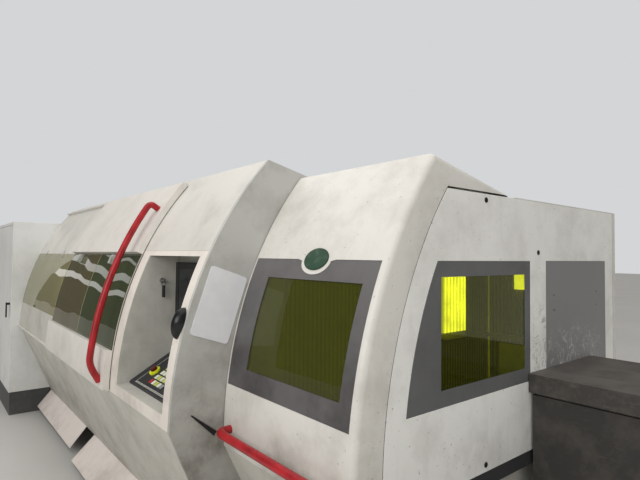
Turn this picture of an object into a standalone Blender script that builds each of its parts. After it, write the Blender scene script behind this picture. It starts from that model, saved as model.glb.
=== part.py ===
"""Tube cutting fiber laser machine with a curved hull, built piece by piece.

Metres, +Z up. The long side runs along X and the operator stands at -Y. From left to right the
machine has an electrical cabinet, a glazed loader with a sliding door, an operator recess, a
cutting cell under a lifting hood, and an outfeed bin. Each piece is one closed body.
"""
import math

import bmesh
import bpy
from mathutils import Matrix, Vector

# Running gaps
SEAT_GAP = 0.0003
SLIDE_GAP = 0.004
PANEL_GAP = 0.004
CUT_OVERRUN = 0.05

# Widths of the sections, from left to right
CABINET_WIDTH = 1.10
GLAZING_WIDTH = 1.53
DOOR_WIDTH = 1.52
CONSOLE_WIDTH = 0.81
CELL_WIDTH = 0.834
OUTFEED_WIDTH = 0.906
LENGTH = CABINET_WIDTH + GLAZING_WIDTH + DOOR_WIDTH + CONSOLE_WIDTH + CELL_WIDTH + OUTFEED_WIDTH
X_LEFT = -LENGTH / 2
X_HULL = X_LEFT + CABINET_WIDTH
X_DOOR = X_HULL + GLAZING_WIDTH
X_CONSOLE = X_DOOR + DOOR_WIDTH
X_STEP = X_CONSOLE + CONSOLE_WIDTH
X_END = X_STEP + CELL_WIDTH
X_RIGHT = X_END + OUTFEED_WIDTH

# Cross section of the hull, an arc in front, a pitched roof and a flat deck
DEPTH = 2.494
Y_BACK = DEPTH / 2
Y_FRONT = -Y_BACK
HULL_RADIUS = 1.832
ARC_HEIGHT = 0.875
BELLY_HEIGHT = 0.90
RIDGE_HEIGHT = 2.10
DECK_HEIGHT = 1.91
ROOF_RUN = 0.815
SKIRT_HEIGHT = 0.20
SKIRT_RUN = 0.304
CELL_SETBACK = 0.25
CELL_RIDGE_HEIGHT = 2.03
HOOD_ROOF_RUN = 0.57
HOOD_BOTTOM = 0.80
SHEET = 0.004
ARC_STEPS = 12

# Sliding door and its tubular handle
DOOR_PROUD = 0.040
DOOR_BOTTOM = 0.908
DOOR_DROP = 0.050
DOOR_TOP = RIDGE_HEIGHT - DOOR_DROP
DOOR_SILL = 1.115
COVER_HEIGHT = 0.413
GLAZING_TOP = DOOR_TOP - COVER_HEIGHT
FIXED_SILL = 1.14
GLASS = 0.004
DOOR_STILE = 0.025
HANDLE_RADIUS = 0.018
HANDLE_REACH = 0.060
DOOR_HANDLE_INSET = 0.06
DOOR_HANDLE_BOTTOM = 0.945
DOOR_HANDLE_DROP = 0.165
DOOR_HANDLE_TOP = DOOR_TOP - DOOR_HANDLE_DROP
HANDLE_BEND = 0.035
Y_ARC = Y_FRONT + HULL_RADIUS + DOOR_PROUD + HANDLE_REACH + HANDLE_RADIUS
Y_RIDGE = Y_ARC - math.sqrt(HULL_RADIUS ** 2 - (RIDGE_HEIGHT - ARC_HEIGHT) ** 2)
Y_BELLY = Y_ARC - math.sqrt(HULL_RADIUS ** 2 - (BELLY_HEIGHT - ARC_HEIGHT) ** 2)
Y_SKIRT = Y_BELLY + SKIRT_RUN
Y_CELL_ARC = Y_ARC + CELL_SETBACK
Y_CELL_RIDGE = Y_CELL_ARC - math.sqrt(HULL_RADIUS ** 2 - (CELL_RIDGE_HEIGHT - ARC_HEIGHT) ** 2)
Y_HOOD_REAR = Y_CELL_RIDGE + HOOD_ROOF_RUN


# Scene
for old in list(bpy.data.objects):
    bpy.data.objects.remove(old, do_unlink=True)
machine = bpy.data.collections.new("tube_laser_machine")
cutters = bpy.data.collections.new("cutters")
for group in (machine, cutters):
    bpy.context.scene.collection.children.link(group)
cutters.hide_render = True


def material(name, colour, roughness, metallic=0.0, alpha=1.0):
    """A plain Principled material, colour given as sRGB shares."""
    made = bpy.data.materials.new(name)
    made.use_nodes = True
    shader = made.node_tree.nodes["Principled BSDF"]
    linear = [((c + 0.055) / 1.055) ** 2.4 if c > 0.04045 else c / 12.92 for c in colour]
    shader.inputs["Base Color"].default_value = (*linear, 1.0)
    shader.inputs["Roughness"].default_value = roughness
    shader.inputs["Metallic"].default_value = metallic
    shader.inputs["Alpha"].default_value = alpha
    made.diffuse_color = (*linear, alpha)
    return made


def show(obj, mat=None, cutter=False):
    """Link an object as a piece of the machine or as a cutter."""
    (cutters if cutter else machine).objects.link(obj)
    if cutter:
        obj.display_type = "WIRE"
        obj.hide_render = True
    else:
        obj.data.materials.clear()
        obj.data.materials.append(mat)
    return obj


TURN = {"X": (math.pi / 2, 0, math.pi / 2), "Y": (math.pi / 2, 0, 0), "Z": (0, 0, 0)}


def extrude(name, outline, low, high, along="X", mat=None, holes=(), smooth=False):
    """A prism: an outline in the plane across an axis, run from low to high along that axis.

    The outline is (Y, Z) along X, (X, Z) along Y and (X, Y) along Z. With no material it is a cutter.
    """
    curve = bpy.data.curves.new(name, "CURVE")
    curve.dimensions = "2D"
    curve.fill_mode = "BOTH"
    curve.extrude = (high - low) / 2
    for loop in (outline, *holes):
        spline = curve.splines.new("POLY")
        spline.points.add(len(loop) - 1)
        for point, (u, v) in zip(spline.points, loop):
            point.co = (u, v, 0, 1)
        spline.use_cyclic_u = True
    source = bpy.data.objects.new(name + "_outline", curve)
    bpy.context.scene.collection.objects.link(source)
    bpy.context.view_layer.update()
    mesh = bpy.data.meshes.new_from_object(source.evaluated_get(bpy.context.evaluated_depsgraph_get()))
    bpy.data.objects.remove(source, do_unlink=True)
    work = bmesh.new()
    work.from_mesh(mesh)
    bmesh.ops.remove_doubles(work, verts=work.verts, dist=0.00001)
    bmesh.ops.recalc_face_normals(work, faces=work.faces)
    for face in work.faces:
        face.smooth = smooth
    work.to_mesh(mesh)
    work.free()
    mesh.name = name
    obj = bpy.data.objects.new(name, mesh)
    obj.rotation_euler = TURN[along]
    middle = (low + high) / 2
    obj.location = {"X": (middle, 0, 0), "Y": (0, middle, 0), "Z": (0, 0, middle)}[along]
    return show(obj, mat, cutter=mat is None)


def block(name, low, high, mat=None, edge=0.0):
    """A box between two corners, with its edges rounded where edge is given."""
    size = Vector(high) - Vector(low)
    work = bmesh.new()
    bmesh.ops.create_cube(work, size=1, matrix=Matrix.Diagonal((*size, 1)))
    mesh = bpy.data.meshes.new(name)
    work.to_mesh(mesh)
    work.free()
    obj = bpy.data.objects.new(name, mesh)
    obj.location = (Vector(low) + Vector(high)) / 2
    if edge:
        bevel = obj.modifiers.new("edge", "BEVEL")
        bevel.width = edge
        bevel.segments = 2
    return show(obj, mat, cutter=mat is None)


def turned(name, profile, place, axis, mat=None, steps=24):
    """A turned piece: (radius, height) pairs, the outer side upwards, screwed about an axis from place."""
    mesh = bpy.data.meshes.new(name)
    work = bmesh.new()
    points = [work.verts.new((radius, 0, height)) for radius, height in profile]
    for one, two in zip(points, points[1:]):
        work.edges.new((one, two))
    work.to_mesh(mesh)
    work.free()
    obj = bpy.data.objects.new(name, mesh)
    obj.location = place
    obj.rotation_euler = Vector(axis).to_track_quat("Z", "Y").to_euler()
    screw = obj.modifiers.new("turn", "SCREW")
    screw.steps = screw.render_steps = steps
    screw.use_merge_vertices = True
    screw.merge_threshold = 0.00001
    screw.use_smooth_shade = True
    screw.use_normal_flip = True
    return show(obj, mat, cutter=mat is None)


def tube(name, path, radius, mat, sides=2):
    """A round tube along a path of points, with closed ends."""
    curve = bpy.data.curves.new(name, "CURVE")
    curve.dimensions = "3D"
    curve.bevel_depth = radius
    curve.bevel_resolution = sides
    curve.use_fill_caps = True
    spline = curve.splines.new("POLY")
    spline.points.add(len(path) - 1)
    for point, place in zip(spline.points, path):
        point.co = (*place, 1)
    obj = bpy.data.objects.new(name, curve)
    return show(obj, mat)


def change(obj, other, how="DIFFERENCE"):
    """Cut, join or keep the common part of two bodies."""
    step = obj.modifiers.new(how.lower(), "BOOLEAN")
    step.operation = how
    step.solver = "EXACT"
    step.object = other
    return obj


def angle_at(height, radius=HULL_RADIUS):
    """Angle on the hull's arc at which its outer face has this height."""
    return math.asin((height - ARC_HEIGHT) / radius)


def on_arc(angle, rise=0.0, centre=Y_ARC):
    """Point (Y, Z) on the hull's arc, raised from its outer face."""
    radius = HULL_RADIUS + rise
    return (centre - radius * math.cos(angle), ARC_HEIGHT + radius * math.sin(angle))


def arc_points(low, high, rise=0.0, centre=Y_ARC):
    """Points up the arc between two heights of its outer face."""
    start = angle_at(low)
    span = angle_at(high) - start
    return [on_arc(start + span * i / ARC_STEPS, rise, centre) for i in range(ARC_STEPS + 1)]


def arc_slab(low, high, inner, outer, centre=Y_ARC):
    """Closed outline of a curved sheet between two heights and two rises."""
    return arc_points(low, high, outer, centre) + arc_points(low, high, inner, centre)[::-1]


def inset(path, distance):
    """The path moved sideways, to the right of its direction, with mitred corners."""
    moved = []
    for i, here in enumerate(path):
        before = Vector(here) - Vector(path[i - 1]) if i else None
        after = Vector(path[i + 1]) - Vector(here) if i + 1 < len(path) else None
        before = before or after
        after = after or before
        side_a = Vector((before.y, -before.x)).normalized()
        side_b = Vector((after.y, -after.x)).normalized()
        mitre = (side_a + side_b) / (1 + side_a.dot(side_b))
        moved.append(tuple(Vector(here) + mitre * distance))
    return moved


def skin(path, thickness=SHEET):
    """Closed outline of a folded sheet whose outer face follows the path."""
    return list(path) + inset(path, thickness)[::-1]


def box_outline(low_u, high_u, low_v, high_v):
    return [(low_u, low_v), (high_u, low_v), (high_u, high_v), (low_u, high_v)]


def ellipse(u, v, half_u, half_v, steps=32):
    turns = [2 * math.pi * i / steps for i in range(steps)]
    return [(u + half_u * math.cos(t), v + half_v * math.sin(t)) for t in turns]


def rounded(low_u, high_u, low_v, high_v, radius, steps=4):
    """Rectangle outline with round corners."""
    corners = ((high_u - radius, high_v - radius, 0), (low_u + radius, high_v - radius, 1),
               (low_u + radius, low_v + radius, 2), (high_u - radius, low_v + radius, 3))
    points = []
    for u, v, quarter in corners:
        for i in range(steps + 1):
            turn = math.pi / 2 * (quarter + i / steps)
            points.append((u + radius * math.cos(turn), v + radius * math.sin(turn)))
    return points


# Paints and raw materials, with the colours of the photographed machine
SHELL_WHITE = material("shell_white", (0.83, 0.81, 0.77), 0.45)
SHELL_GREY = material("shell_grey", (0.66, 0.65, 0.61), 0.5)
KICK_PINK = material("kick_white", (0.82, 0.76, 0.73), 0.5)
BEZEL_GREY = material("bezel_grey", (0.36, 0.34, 0.35), 0.5)
SAFETY_GREEN = material("laser_safe_window", (0.42, 0.45, 0.10), 0.15, alpha=0.6)
SAFETY_YELLOW = material("laser_safe_end_window", (0.62, 0.66, 0.05), 0.15, alpha=0.6)
GLAZING_TINT = material("tinted_glazing", (0.33, 0.34, 0.22), 0.1, alpha=0.6)
HANDLE_RED = material("handle_red", (0.78, 0.10, 0.12), 0.35)
BADGE_GREEN = material("badge_green", (0.20, 0.38, 0.28), 0.4)
BLACK_PLASTIC = material("black_plastic", (0.06, 0.06, 0.065), 0.45)
DESK_BLACK = material("desk_black", (0.13, 0.13, 0.15), 0.4)
KEY_WHITE = material("key_white", (0.86, 0.87, 0.78), 0.45)
COLLAR_YELLOW = material("collar_yellow", (0.92, 0.95, 0.15), 0.4)
STOP_RED = material("stop_red", (0.70, 0.08, 0.08), 0.4)
BOARD_WHITE = material("board_white", (0.86, 0.87, 0.91), 0.25)
CLAMP_WHITE = material("clamp_white", (0.88, 0.88, 0.86), 0.35)
SCREEN_DARK = material("screen_dark", (0.10, 0.11, 0.12), 0.15)
BED_GREY = material("bed_grey", (0.24, 0.25, 0.26), 0.6)
PLINTH_DARK = material("plinth_dark", (0.20, 0.21, 0.22), 0.55)
CABINET_GREY = material("cabinet_grey", (0.78, 0.79, 0.77), 0.45)
BIN_STEEL = material("bin_steel", (0.30, 0.29, 0.28), 0.5, 0.4)
STEEL = material("bright_steel", (0.70, 0.71, 0.72), 0.3, 1.0)
BELLOWS_GREY = material("bellows_grey", (0.55, 0.56, 0.50), 0.7)
LAMP_WHITE = material("lamp_white", (0.95, 0.95, 0.92), 0.5)


# Bed: a welded box that stands on levelling feet and carries everything
BED_FRONT_INSET = 0.747
BED_BACK_INSET = 0.197
BED_FOOT = 0.10
BED_WALL = 0.012
BED_INSET = 0.05
BED_END_INSET = 0.075
FOOT_RADIUS = 0.06
FOOT_INSET = 0.15
FOOT_ROWS = 4
RAIL_WIDTH = 0.030
RAIL_HEIGHT = 0.030
RAIL_SPREAD = 0.44
GANTRY_SINK = 0.19
GANTRY_DROP = 0.16
TUBE_DROP = 0.36
TUBE_RISE = 0.50
BULKHEAD = 0.020
PASSAGE_RADIUS = 0.20
ROUND_STEPS = 64
GANTRY_TOP = DECK_HEIGHT - GANTRY_SINK
TUBE_AXIS_Y = 0.20
TUBE_AXIS_Z = GANTRY_TOP - GANTRY_DROP - TUBE_DROP
BED_TOP = TUBE_AXIS_Z - TUBE_RISE
BED_FRONT = Y_FRONT + BED_FRONT_INSET
BED_BACK = Y_BACK - BED_BACK_INSET

x_bed = X_HULL + BED_INSET
x_bed_end = X_END - BED_END_INSET
bed = block("bed", (x_bed, BED_FRONT, BED_FOOT), (x_bed_end, BED_BACK, BED_TOP), BED_GREY)
bed_hollow = block("bed_hollow", (x_bed + BED_WALL, BED_FRONT + BED_WALL, BED_FOOT - CUT_OVERRUN),
                   (x_bed_end - BED_WALL, BED_BACK - BED_WALL, BED_TOP - BED_WALL))
change(bed, bed_hollow)
foot_span = x_bed_end - x_bed - 2 * FOOT_INSET
foot_inset = BED_WALL / 2 + FOOT_RADIUS
for i in range(FOOT_ROWS):
    x_foot = x_bed + FOOT_INSET + foot_span * i / (FOOT_ROWS - 1)
    for side, y_foot in (("front", BED_FRONT + foot_inset), ("rear", BED_BACK - foot_inset)):
        foot = turned(f"foot_{side}_{i}", [(0, 0), (FOOT_RADIUS, 0), (FOOT_RADIUS, 2 * BED_FOOT),
                                           (0, 2 * BED_FOOT)], (x_foot, y_foot, 0), (0, 0, 1), steps=12)
        change(bed, foot, "UNION")
for side in (-1, 1):
    y_rail = TUBE_AXIS_Y + side * RAIL_SPREAD / 2
    rail = block(f"bed_rail_{side}", (x_bed + BED_WALL, y_rail - RAIL_WIDTH / 2, BED_TOP - BED_WALL / 2),
                 (X_STEP - BULKHEAD - SEAT_GAP, y_rail + RAIL_WIDTH / 2, BED_TOP + RAIL_HEIGHT))
    change(bed, rail, "UNION")

# Bulkheads: full cross section plates that straddle the bed and carry the hull sheets
BED_CLEAR = SEAT_GAP
hull_path = ([(Y_SKIRT, SKIRT_HEIGHT)] + arc_points(BELLY_HEIGHT, RIDGE_HEIGHT)
             + [(Y_RIDGE + ROOF_RUN, DECK_HEIGHT), (Y_BACK, DECK_HEIGHT), (Y_BACK, SKIRT_HEIGHT)])
bed_notch = [(BED_BACK + BED_CLEAR, SKIRT_HEIGHT), (BED_BACK + BED_CLEAR, BED_TOP + BED_CLEAR),
             (BED_FRONT - BED_CLEAR, BED_TOP + BED_CLEAR), (BED_FRONT - BED_CLEAR, SKIRT_HEIGHT)]
passage = ellipse(TUBE_AXIS_Y, TUBE_AXIS_Z, PASSAGE_RADIUS, PASSAGE_RADIUS, ROUND_STEPS)
x_bulkhead = x_bed + BED_WALL
left_bulkhead = extrude("left_bulkhead", inset(hull_path, SHEET + SEAT_GAP) + bed_notch, x_bulkhead,
                        x_bulkhead + BULKHEAD, mat=SHELL_GREY)
rail_notch = block("rail_notch", (X_HULL, TUBE_AXIS_Y - RAIL_SPREAD / 2 - RAIL_WIDTH, BED_TOP),
                   (X_DOOR, TUBE_AXIS_Y + RAIL_SPREAD / 2 + RAIL_WIDTH, BED_TOP + 2 * RAIL_HEIGHT))
change(left_bulkhead, rail_notch)

# The step bulkhead shows as a curved fin where the cell is set back behind the loader
GANTRY_DEPTH = 0.20
GANTRY_FRONT_INSET = 0.947
GANTRY_BACK_INSET = 0.497
step_bulkhead = extrude("step_bulkhead", hull_path + bed_notch, X_STEP - BULKHEAD, X_STEP, mat=SHELL_GREY,
                        holes=(passage,))
gantry = block("gantry_beam", (X_STEP - BULKHEAD / 2, Y_FRONT + GANTRY_FRONT_INSET, GANTRY_TOP - GANTRY_DROP),
               (X_STEP + GANTRY_DEPTH, Y_BACK - GANTRY_BACK_INSET, GANTRY_TOP))
change(step_bulkhead, gantry, "UNION")

# Loader roof: one folded sheet from the glazing over the ridge and down the back
x_sheet_end = X_STEP - BULKHEAD - SEAT_GAP
DOORWAY_MARGIN = 0.06
DOORWAY_DROP = 0.15
DOORWAY_BOTTOM = 0.98
CONSOLE_TOP = 1.66
roof_path = (arc_points(GLAZING_TOP, RIDGE_HEIGHT)
             + [(Y_RIDGE + ROOF_RUN, DECK_HEIGHT), (Y_BACK, DECK_HEIGHT), (Y_BACK, SKIRT_HEIGHT)])
loader_roof = extrude("loader_roof", skin(roof_path), X_HULL + SEAT_GAP, x_sheet_end, mat=SHELL_WHITE)
doorway = extrude("doorway", arc_slab(DOORWAY_BOTTOM, DOOR_TOP - DOORWAY_DROP, -CUT_OVERRUN, CUT_OVERRUN),
                  X_DOOR + DOORWAY_MARGIN, X_CONSOLE - DOORWAY_MARGIN)
console_gap = extrude("console_gap", arc_slab(BELLY_HEIGHT, CONSOLE_TOP, -CUT_OVERRUN, CUT_OVERRUN),
                      X_CONSOLE - SEAT_GAP, X_STEP + CUT_OVERRUN)
change(loader_roof, doorway)
change(loader_roof, console_gap)

# Loader apron: the white belt under the glazing and the undercut skirt, folded from one sheet
apron_path = [(Y_SKIRT, SKIRT_HEIGHT)] + arc_points(BELLY_HEIGHT, FIXED_SILL)
loader_apron = extrude("loader_apron", skin(apron_path), X_HULL + SEAT_GAP, x_sheet_end, mat=SHELL_GREY)
change(loader_apron, doorway)
change(loader_apron, console_gap)

# Fixed glazing: one curved pane between the apron and the roof sheet
extrude("fixed_pane", arc_slab(FIXED_SILL + SEAT_GAP, GLAZING_TOP - SEAT_GAP, -GLASS, 0),
        X_HULL + SEAT_GAP, X_DOOR + DOORWAY_MARGIN - SEAT_GAP, mat=GLAZING_TINT, smooth=True)

# Moulded clips that hold the top edge of the panes
CLAMP_WIDTH = 0.032
CLAMP_LENGTH = 0.070
CLAMP_THICK = 0.003
FIXED_CLAMP_PITCH = 0.72
FIXED_CLAMP_INSET = 0.36
DOOR_CLAMP_PITCH = 0.80
DOOR_CLAMP_INSET = 0.30
for i in range(2):
    x_clamp = X_HULL + FIXED_CLAMP_INSET + FIXED_CLAMP_PITCH * i
    extrude(f"pane_clamp_{i}", arc_slab(GLAZING_TOP - CLAMP_LENGTH / 2, GLAZING_TOP + CLAMP_LENGTH / 2,
                                        SEAT_GAP, CLAMP_THICK),
            x_clamp - CLAMP_WIDTH / 2, x_clamp + CLAMP_WIDTH / 2, mat=CLAMP_WHITE)

# Sliding door: a pressed frame with a raised cover above and a raised belt below the panes
door_low, door_high = X_DOOR, X_CONSOLE
door_frame = extrude("door_frame", arc_slab(DOOR_BOTTOM, DOOR_TOP, SLIDE_GAP, DOOR_PROUD),
                     door_low, door_high, mat=SHELL_WHITE)
glass_seat = SLIDE_GAP + SHEET
pane_pocket = extrude("pane_pocket",
                      arc_slab(DOOR_SILL, GLAZING_TOP, glass_seat, DOOR_PROUD + CUT_OVERRUN),
                      door_low - CUT_OVERRUN, door_high + CUT_OVERRUN)
pane_hole = extrude("pane_hole", arc_slab(DOOR_SILL + DOOR_STILE, GLAZING_TOP - DOOR_STILE,
                                          -CUT_OVERRUN, CUT_OVERRUN),
                    door_low + DOOR_STILE, door_high - DOOR_STILE)
cover_hollow = extrude("cover_hollow", arc_slab(GLAZING_TOP + SHEET, DOOR_TOP - SHEET, -CUT_OVERRUN,
                                                DOOR_PROUD - SHEET), door_low + SHEET, door_high - SHEET)
belt_hollow = extrude("belt_hollow", arc_slab(DOOR_BOTTOM + SHEET, DOOR_SILL - SHEET, -CUT_OVERRUN,
                                              DOOR_PROUD - SHEET), door_low + SHEET, door_high - SHEET)
for cutter in (pane_pocket, pane_hole, cover_hollow, belt_hollow):
    change(door_frame, cutter)
x_mullion = (door_low + door_high) / 2
pane_slab = arc_slab(DOOR_SILL + SEAT_GAP, GLAZING_TOP - SEAT_GAP, glass_seat + SEAT_GAP,
                     glass_seat + SEAT_GAP + GLASS)
extrude("door_pane_left", pane_slab, door_low, x_mullion - SEAT_GAP / 2, mat=GLAZING_TINT, smooth=True)
extrude("door_pane_right", pane_slab, x_mullion + SEAT_GAP / 2, door_high, mat=GLAZING_TINT, smooth=True)
for i in range(2):
    x_clamp = door_low + DOOR_CLAMP_INSET + DOOR_CLAMP_PITCH * i
    pane_face = glass_seat + GLASS + 2 * SEAT_GAP
    extrude(f"pane_clamp_{i + 2}", arc_slab(GLAZING_TOP - CLAMP_LENGTH, GLAZING_TOP - SEAT_GAP, pane_face,
                                            DOOR_PROUD + CLAMP_THICK),
            x_clamp - CLAMP_WIDTH / 2, x_clamp + CLAMP_WIDTH / 2, mat=CLAMP_WHITE)

# Rails that the door runs on, along its lower and upper edges
RAIL_PROUD = 0.022
RAIL_BAR = 0.007
x_rail = X_HULL + SEAT_GAP
for edge, low, high in (("lower", DOOR_BOTTOM - RAIL_BAR, DOOR_BOTTOM - SEAT_GAP),
                        ("upper", DOOR_TOP + SEAT_GAP, DOOR_TOP + RAIL_BAR)):
    extrude(f"door_rail_{edge}", arc_slab(low, high, SEAT_GAP, RAIL_PROUD), x_rail, X_CONSOLE - SEAT_GAP,
            mat=STEEL)

# Door handle: a bent red tube that follows the arc
x_handle = X_CONSOLE - DOOR_HANDLE_INSET
handle_rise = DOOR_PROUD + HANDLE_REACH
bend_angle = HANDLE_BEND / HULL_RADIUS
low_angle, high_angle = angle_at(DOOR_HANDLE_BOTTOM), angle_at(DOOR_HANDLE_TOP)
BEND_STEPS = 4


def bent_leg(start, turn):
    """From the door's face out and round to the run along the arc, towards the rising angle for turn 1."""
    points = [(start, DOOR_PROUD + SEAT_GAP)]
    for i in range(BEND_STEPS + 1):
        swing = math.pi / 2 * i / BEND_STEPS
        points.append((start + turn * bend_angle * (1 - math.cos(swing)),
                       handle_rise - HANDLE_BEND + HANDLE_BEND * math.sin(swing)))
    return points


run_low, run_high = low_angle + bend_angle, high_angle - bend_angle
handle_run = [(run_low + (run_high - run_low) * i / ARC_STEPS, handle_rise) for i in range(1, ARC_STEPS)]
handle_route = bent_leg(low_angle, 1) + handle_run + bent_leg(high_angle, -1)[::-1]
tube("door_handle", [(x_handle, *on_arc(angle, rise)) for angle, rise in handle_route], HANDLE_RADIUS,
     HANDLE_RED)

# Console: a curved surround, the recess behind it, and what the operator uses
OPENING_WIDTH = 0.620
OPENING_INSET = 0.085
OPENING_BOTTOM = 0.955
OPENING_TOP = 1.633
RECESS_DEPTH = 0.457
DESK_INSET = 0.187
DESK_FRONT_HEIGHT = 0.012
DESK_RISE = 0.155
x_open_high = X_STEP - OPENING_INSET
x_open_low = x_open_high - OPENING_WIDTH
y_recess = Y_FRONT + RECESS_DEPTH
y_desk_front = Y_FRONT + DESK_INSET
console_frame = extrude("console_frame", arc_slab(BELLY_HEIGHT, CONSOLE_TOP - SEAT_GAP, -SHEET, 0),
                        X_CONSOLE, x_sheet_end, mat=SHELL_WHITE)
console_opening = block("console_opening", (x_open_low, -DEPTH, OPENING_BOTTOM),
                        (x_open_high, y_recess, OPENING_TOP))
change(console_frame, console_opening)
recess_top = OPENING_TOP + SHEET
recess_floor = OPENING_BOTTOM - SHEET
recess_front = [on_arc(angle_at(z), -SHEET - SEAT_GAP) for z in
                [recess_floor + (recess_top - recess_floor) * i / ARC_STEPS for i in range(ARC_STEPS + 1)]]
console_box = extrude("console_box", recess_front + [(y_recess + SHEET, recess_front[-1][1]),
                                                     (y_recess + SHEET, recess_front[0][1])],
                      x_open_low - SHEET, x_open_high + SHEET, mat=SHELL_GREY)
change(console_box, console_opening)
z_desk = OPENING_BOTTOM + SEAT_GAP
z_desk_front = z_desk + DESK_FRONT_HEIGHT
z_desk_back = z_desk_front + DESK_RISE
y_desk_back = y_recess - SEAT_GAP
extrude("console_desk", [(y_desk_front, z_desk), (y_desk_back, z_desk), (y_desk_back, z_desk_back),
                         (y_desk_front, z_desk_front)],
        x_open_low + SEAT_GAP, x_open_high - SEAT_GAP, mat=DESK_BLACK)

# Keys, stop button and screen lie on the sloped desk, in a frame of width, slope and height
slope = Vector((0, y_desk_back - y_desk_front, z_desk_back - z_desk_front))
up_slope = slope.normalized()
desk_normal = Vector((0, -up_slope.z, up_slope.y))
desk_corner = Vector((x_open_low, y_desk_front, z_desk_front))
desk_turn = math.atan2(up_slope.z, up_slope.y)


def on_desk(obj):
    """Lay a piece made flat at the origin onto the desk."""
    obj.location = desk_corner + desk_normal * (obj.location.z + SEAT_GAP)
    obj.rotation_euler = (desk_turn, 0, 0)
    return obj


KEY_SIZE = 0.026
KEY_PITCH = 0.034
KEY_THICK = 0.004
KEY_ROWS = 4
KEY_COLUMNS = 5
KEY_INSET = 0.060
KEY_MARGIN = 0.010
MAT_THICK = 0.002
mat_width = KEY_COLUMNS * KEY_PITCH + KEY_MARGIN
mat_height = KEY_ROWS * KEY_PITCH + KEY_MARGIN
STOP_INSET = 0.115
STOP_SLOPE = 0.110
x_keys = STOP_INSET + KEY_INSET
y_keys = KEY_INSET / 2
key_mat = extrude("key_mat", box_outline(x_keys, x_keys + mat_width, y_keys, y_keys + mat_height),
                  0, MAT_THICK, along="Z", mat=KEY_WHITE)
for column in range(KEY_COLUMNS):
    for row in range(KEY_ROWS):
        u = x_keys + KEY_MARGIN + column * KEY_PITCH
        v = y_keys + KEY_MARGIN + row * KEY_PITCH
        key = extrude(f"key_{column}_{row}", box_outline(u, u + KEY_SIZE, v, v + KEY_SIZE), MAT_THICK / 2,
                      MAT_THICK + KEY_THICK, along="Z")
        on_desk(key)
        change(key_mat, key, "UNION")
on_desk(key_mat)

COLLAR_RADIUS = 0.030
COLLAR_THICK = 0.010
STEM_RADIUS = 0.011
STOP_RADIUS = 0.018
STOP_HEIGHT = 0.022
STOP_TRAVEL = 0.005
stop_place = desk_corner + Vector((STOP_INSET, 0, 0)) + up_slope * STOP_SLOPE + desk_normal * SEAT_GAP
turned("estop_collar", [(STEM_RADIUS + SEAT_GAP, 0), (COLLAR_RADIUS, 0), (COLLAR_RADIUS, COLLAR_THICK),
                        (STEM_RADIUS + SEAT_GAP, COLLAR_THICK), (STEM_RADIUS + SEAT_GAP, 0)],
       stop_place, desk_normal, COLLAR_YELLOW)
cap_low = COLLAR_THICK + STOP_TRAVEL + 2 * SEAT_GAP
stem_low = STOP_TRAVEL + 2 * SEAT_GAP
turned("estop_button", [(0, stem_low), (STEM_RADIUS, stem_low), (STEM_RADIUS, cap_low),
                        (STOP_RADIUS, cap_low), (STOP_RADIUS, cap_low + STOP_HEIGHT / 2),
                        (STOP_RADIUS / 2, STOP_HEIGHT + stem_low), (0, STOP_HEIGHT + stem_low)],
       stop_place, desk_normal, STOP_RED)

# Key switch on the left wall of the recess, with its key and the bunch that hangs from it
SWITCH_SLOPE = 0.105
SWITCH_HEIGHT = 0.540
SWITCH_RADIUS = 0.014
SWITCH_THICK = 0.010
KEY_HEAD = 0.012
KEY_BLADE = 0.002
HOLE_RADIUS = 0.0024
BUNCH_DROP = 0.075
switch_place = Vector((x_open_low + SEAT_GAP, y_recess - SWITCH_SLOPE, OPENING_BOTTOM + SWITCH_HEIGHT))
turned("key_switch", [(0, 0), (SWITCH_RADIUS, 0), (SWITCH_RADIUS, SWITCH_THICK), (0, SWITCH_THICK)],
       switch_place, (1, 0, 0), STEEL)
x_key = switch_place.x + SWITCH_THICK + SEAT_GAP
key_half = [(0, KEY_BLADE * 2), (KEY_HEAD, KEY_BLADE * 2), (KEY_HEAD, KEY_HEAD), (KEY_HEAD * 2, KEY_HEAD)]
key_outline = [(x_key + u, switch_place.z - v) for u, v in key_half]
key_outline += [(x_key + u, switch_place.z + v) for u, v in key_half[::-1]]
ring_hole = ellipse(x_key + KEY_HEAD * 3 / 2, switch_place.z - KEY_HEAD / 3, HOLE_RADIUS, HOLE_RADIUS, 12)
extrude("switch_key", key_outline, switch_place.y - KEY_BLADE / 2, switch_place.y + KEY_BLADE / 2, along="Y",
        mat=STEEL, holes=(ring_hole,))

RING_RADIUS = 0.012
WIRE_RADIUS = 0.0012
BUNCH_WIDTH = 0.022
BUNCH_SPREAD = 0.004
bunch_pivot = Vector((x_key + KEY_HEAD * 3 / 2, switch_place.y, switch_place.z - KEY_HEAD / 3 - SEAT_GAP))
ring_centre = bunch_pivot - Vector((0, 0, RING_RADIUS))
ring_section = ellipse(RING_RADIUS, 0, WIRE_RADIUS, WIRE_RADIUS, 6)
key_bunch = turned("key_bunch", ring_section + ring_section[:1], ring_centre, (1, 0, 0), STEEL, steps=16)
for i in (-1, 1):
    y_spare = switch_place.y + BUNCH_SPREAD * i
    spare_low = (ring_centre.x - BUNCH_WIDTH / 2, y_spare - KEY_BLADE / 2, ring_centre.z - BUNCH_DROP)
    spare_high = (ring_centre.x + BUNCH_WIDTH / 2, y_spare + KEY_BLADE / 2,
                  ring_centre.z - RING_RADIUS * 3 / 4)
    change(key_bunch, block(f"spare_key_{i}", spare_low, spare_high), "UNION")

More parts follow.
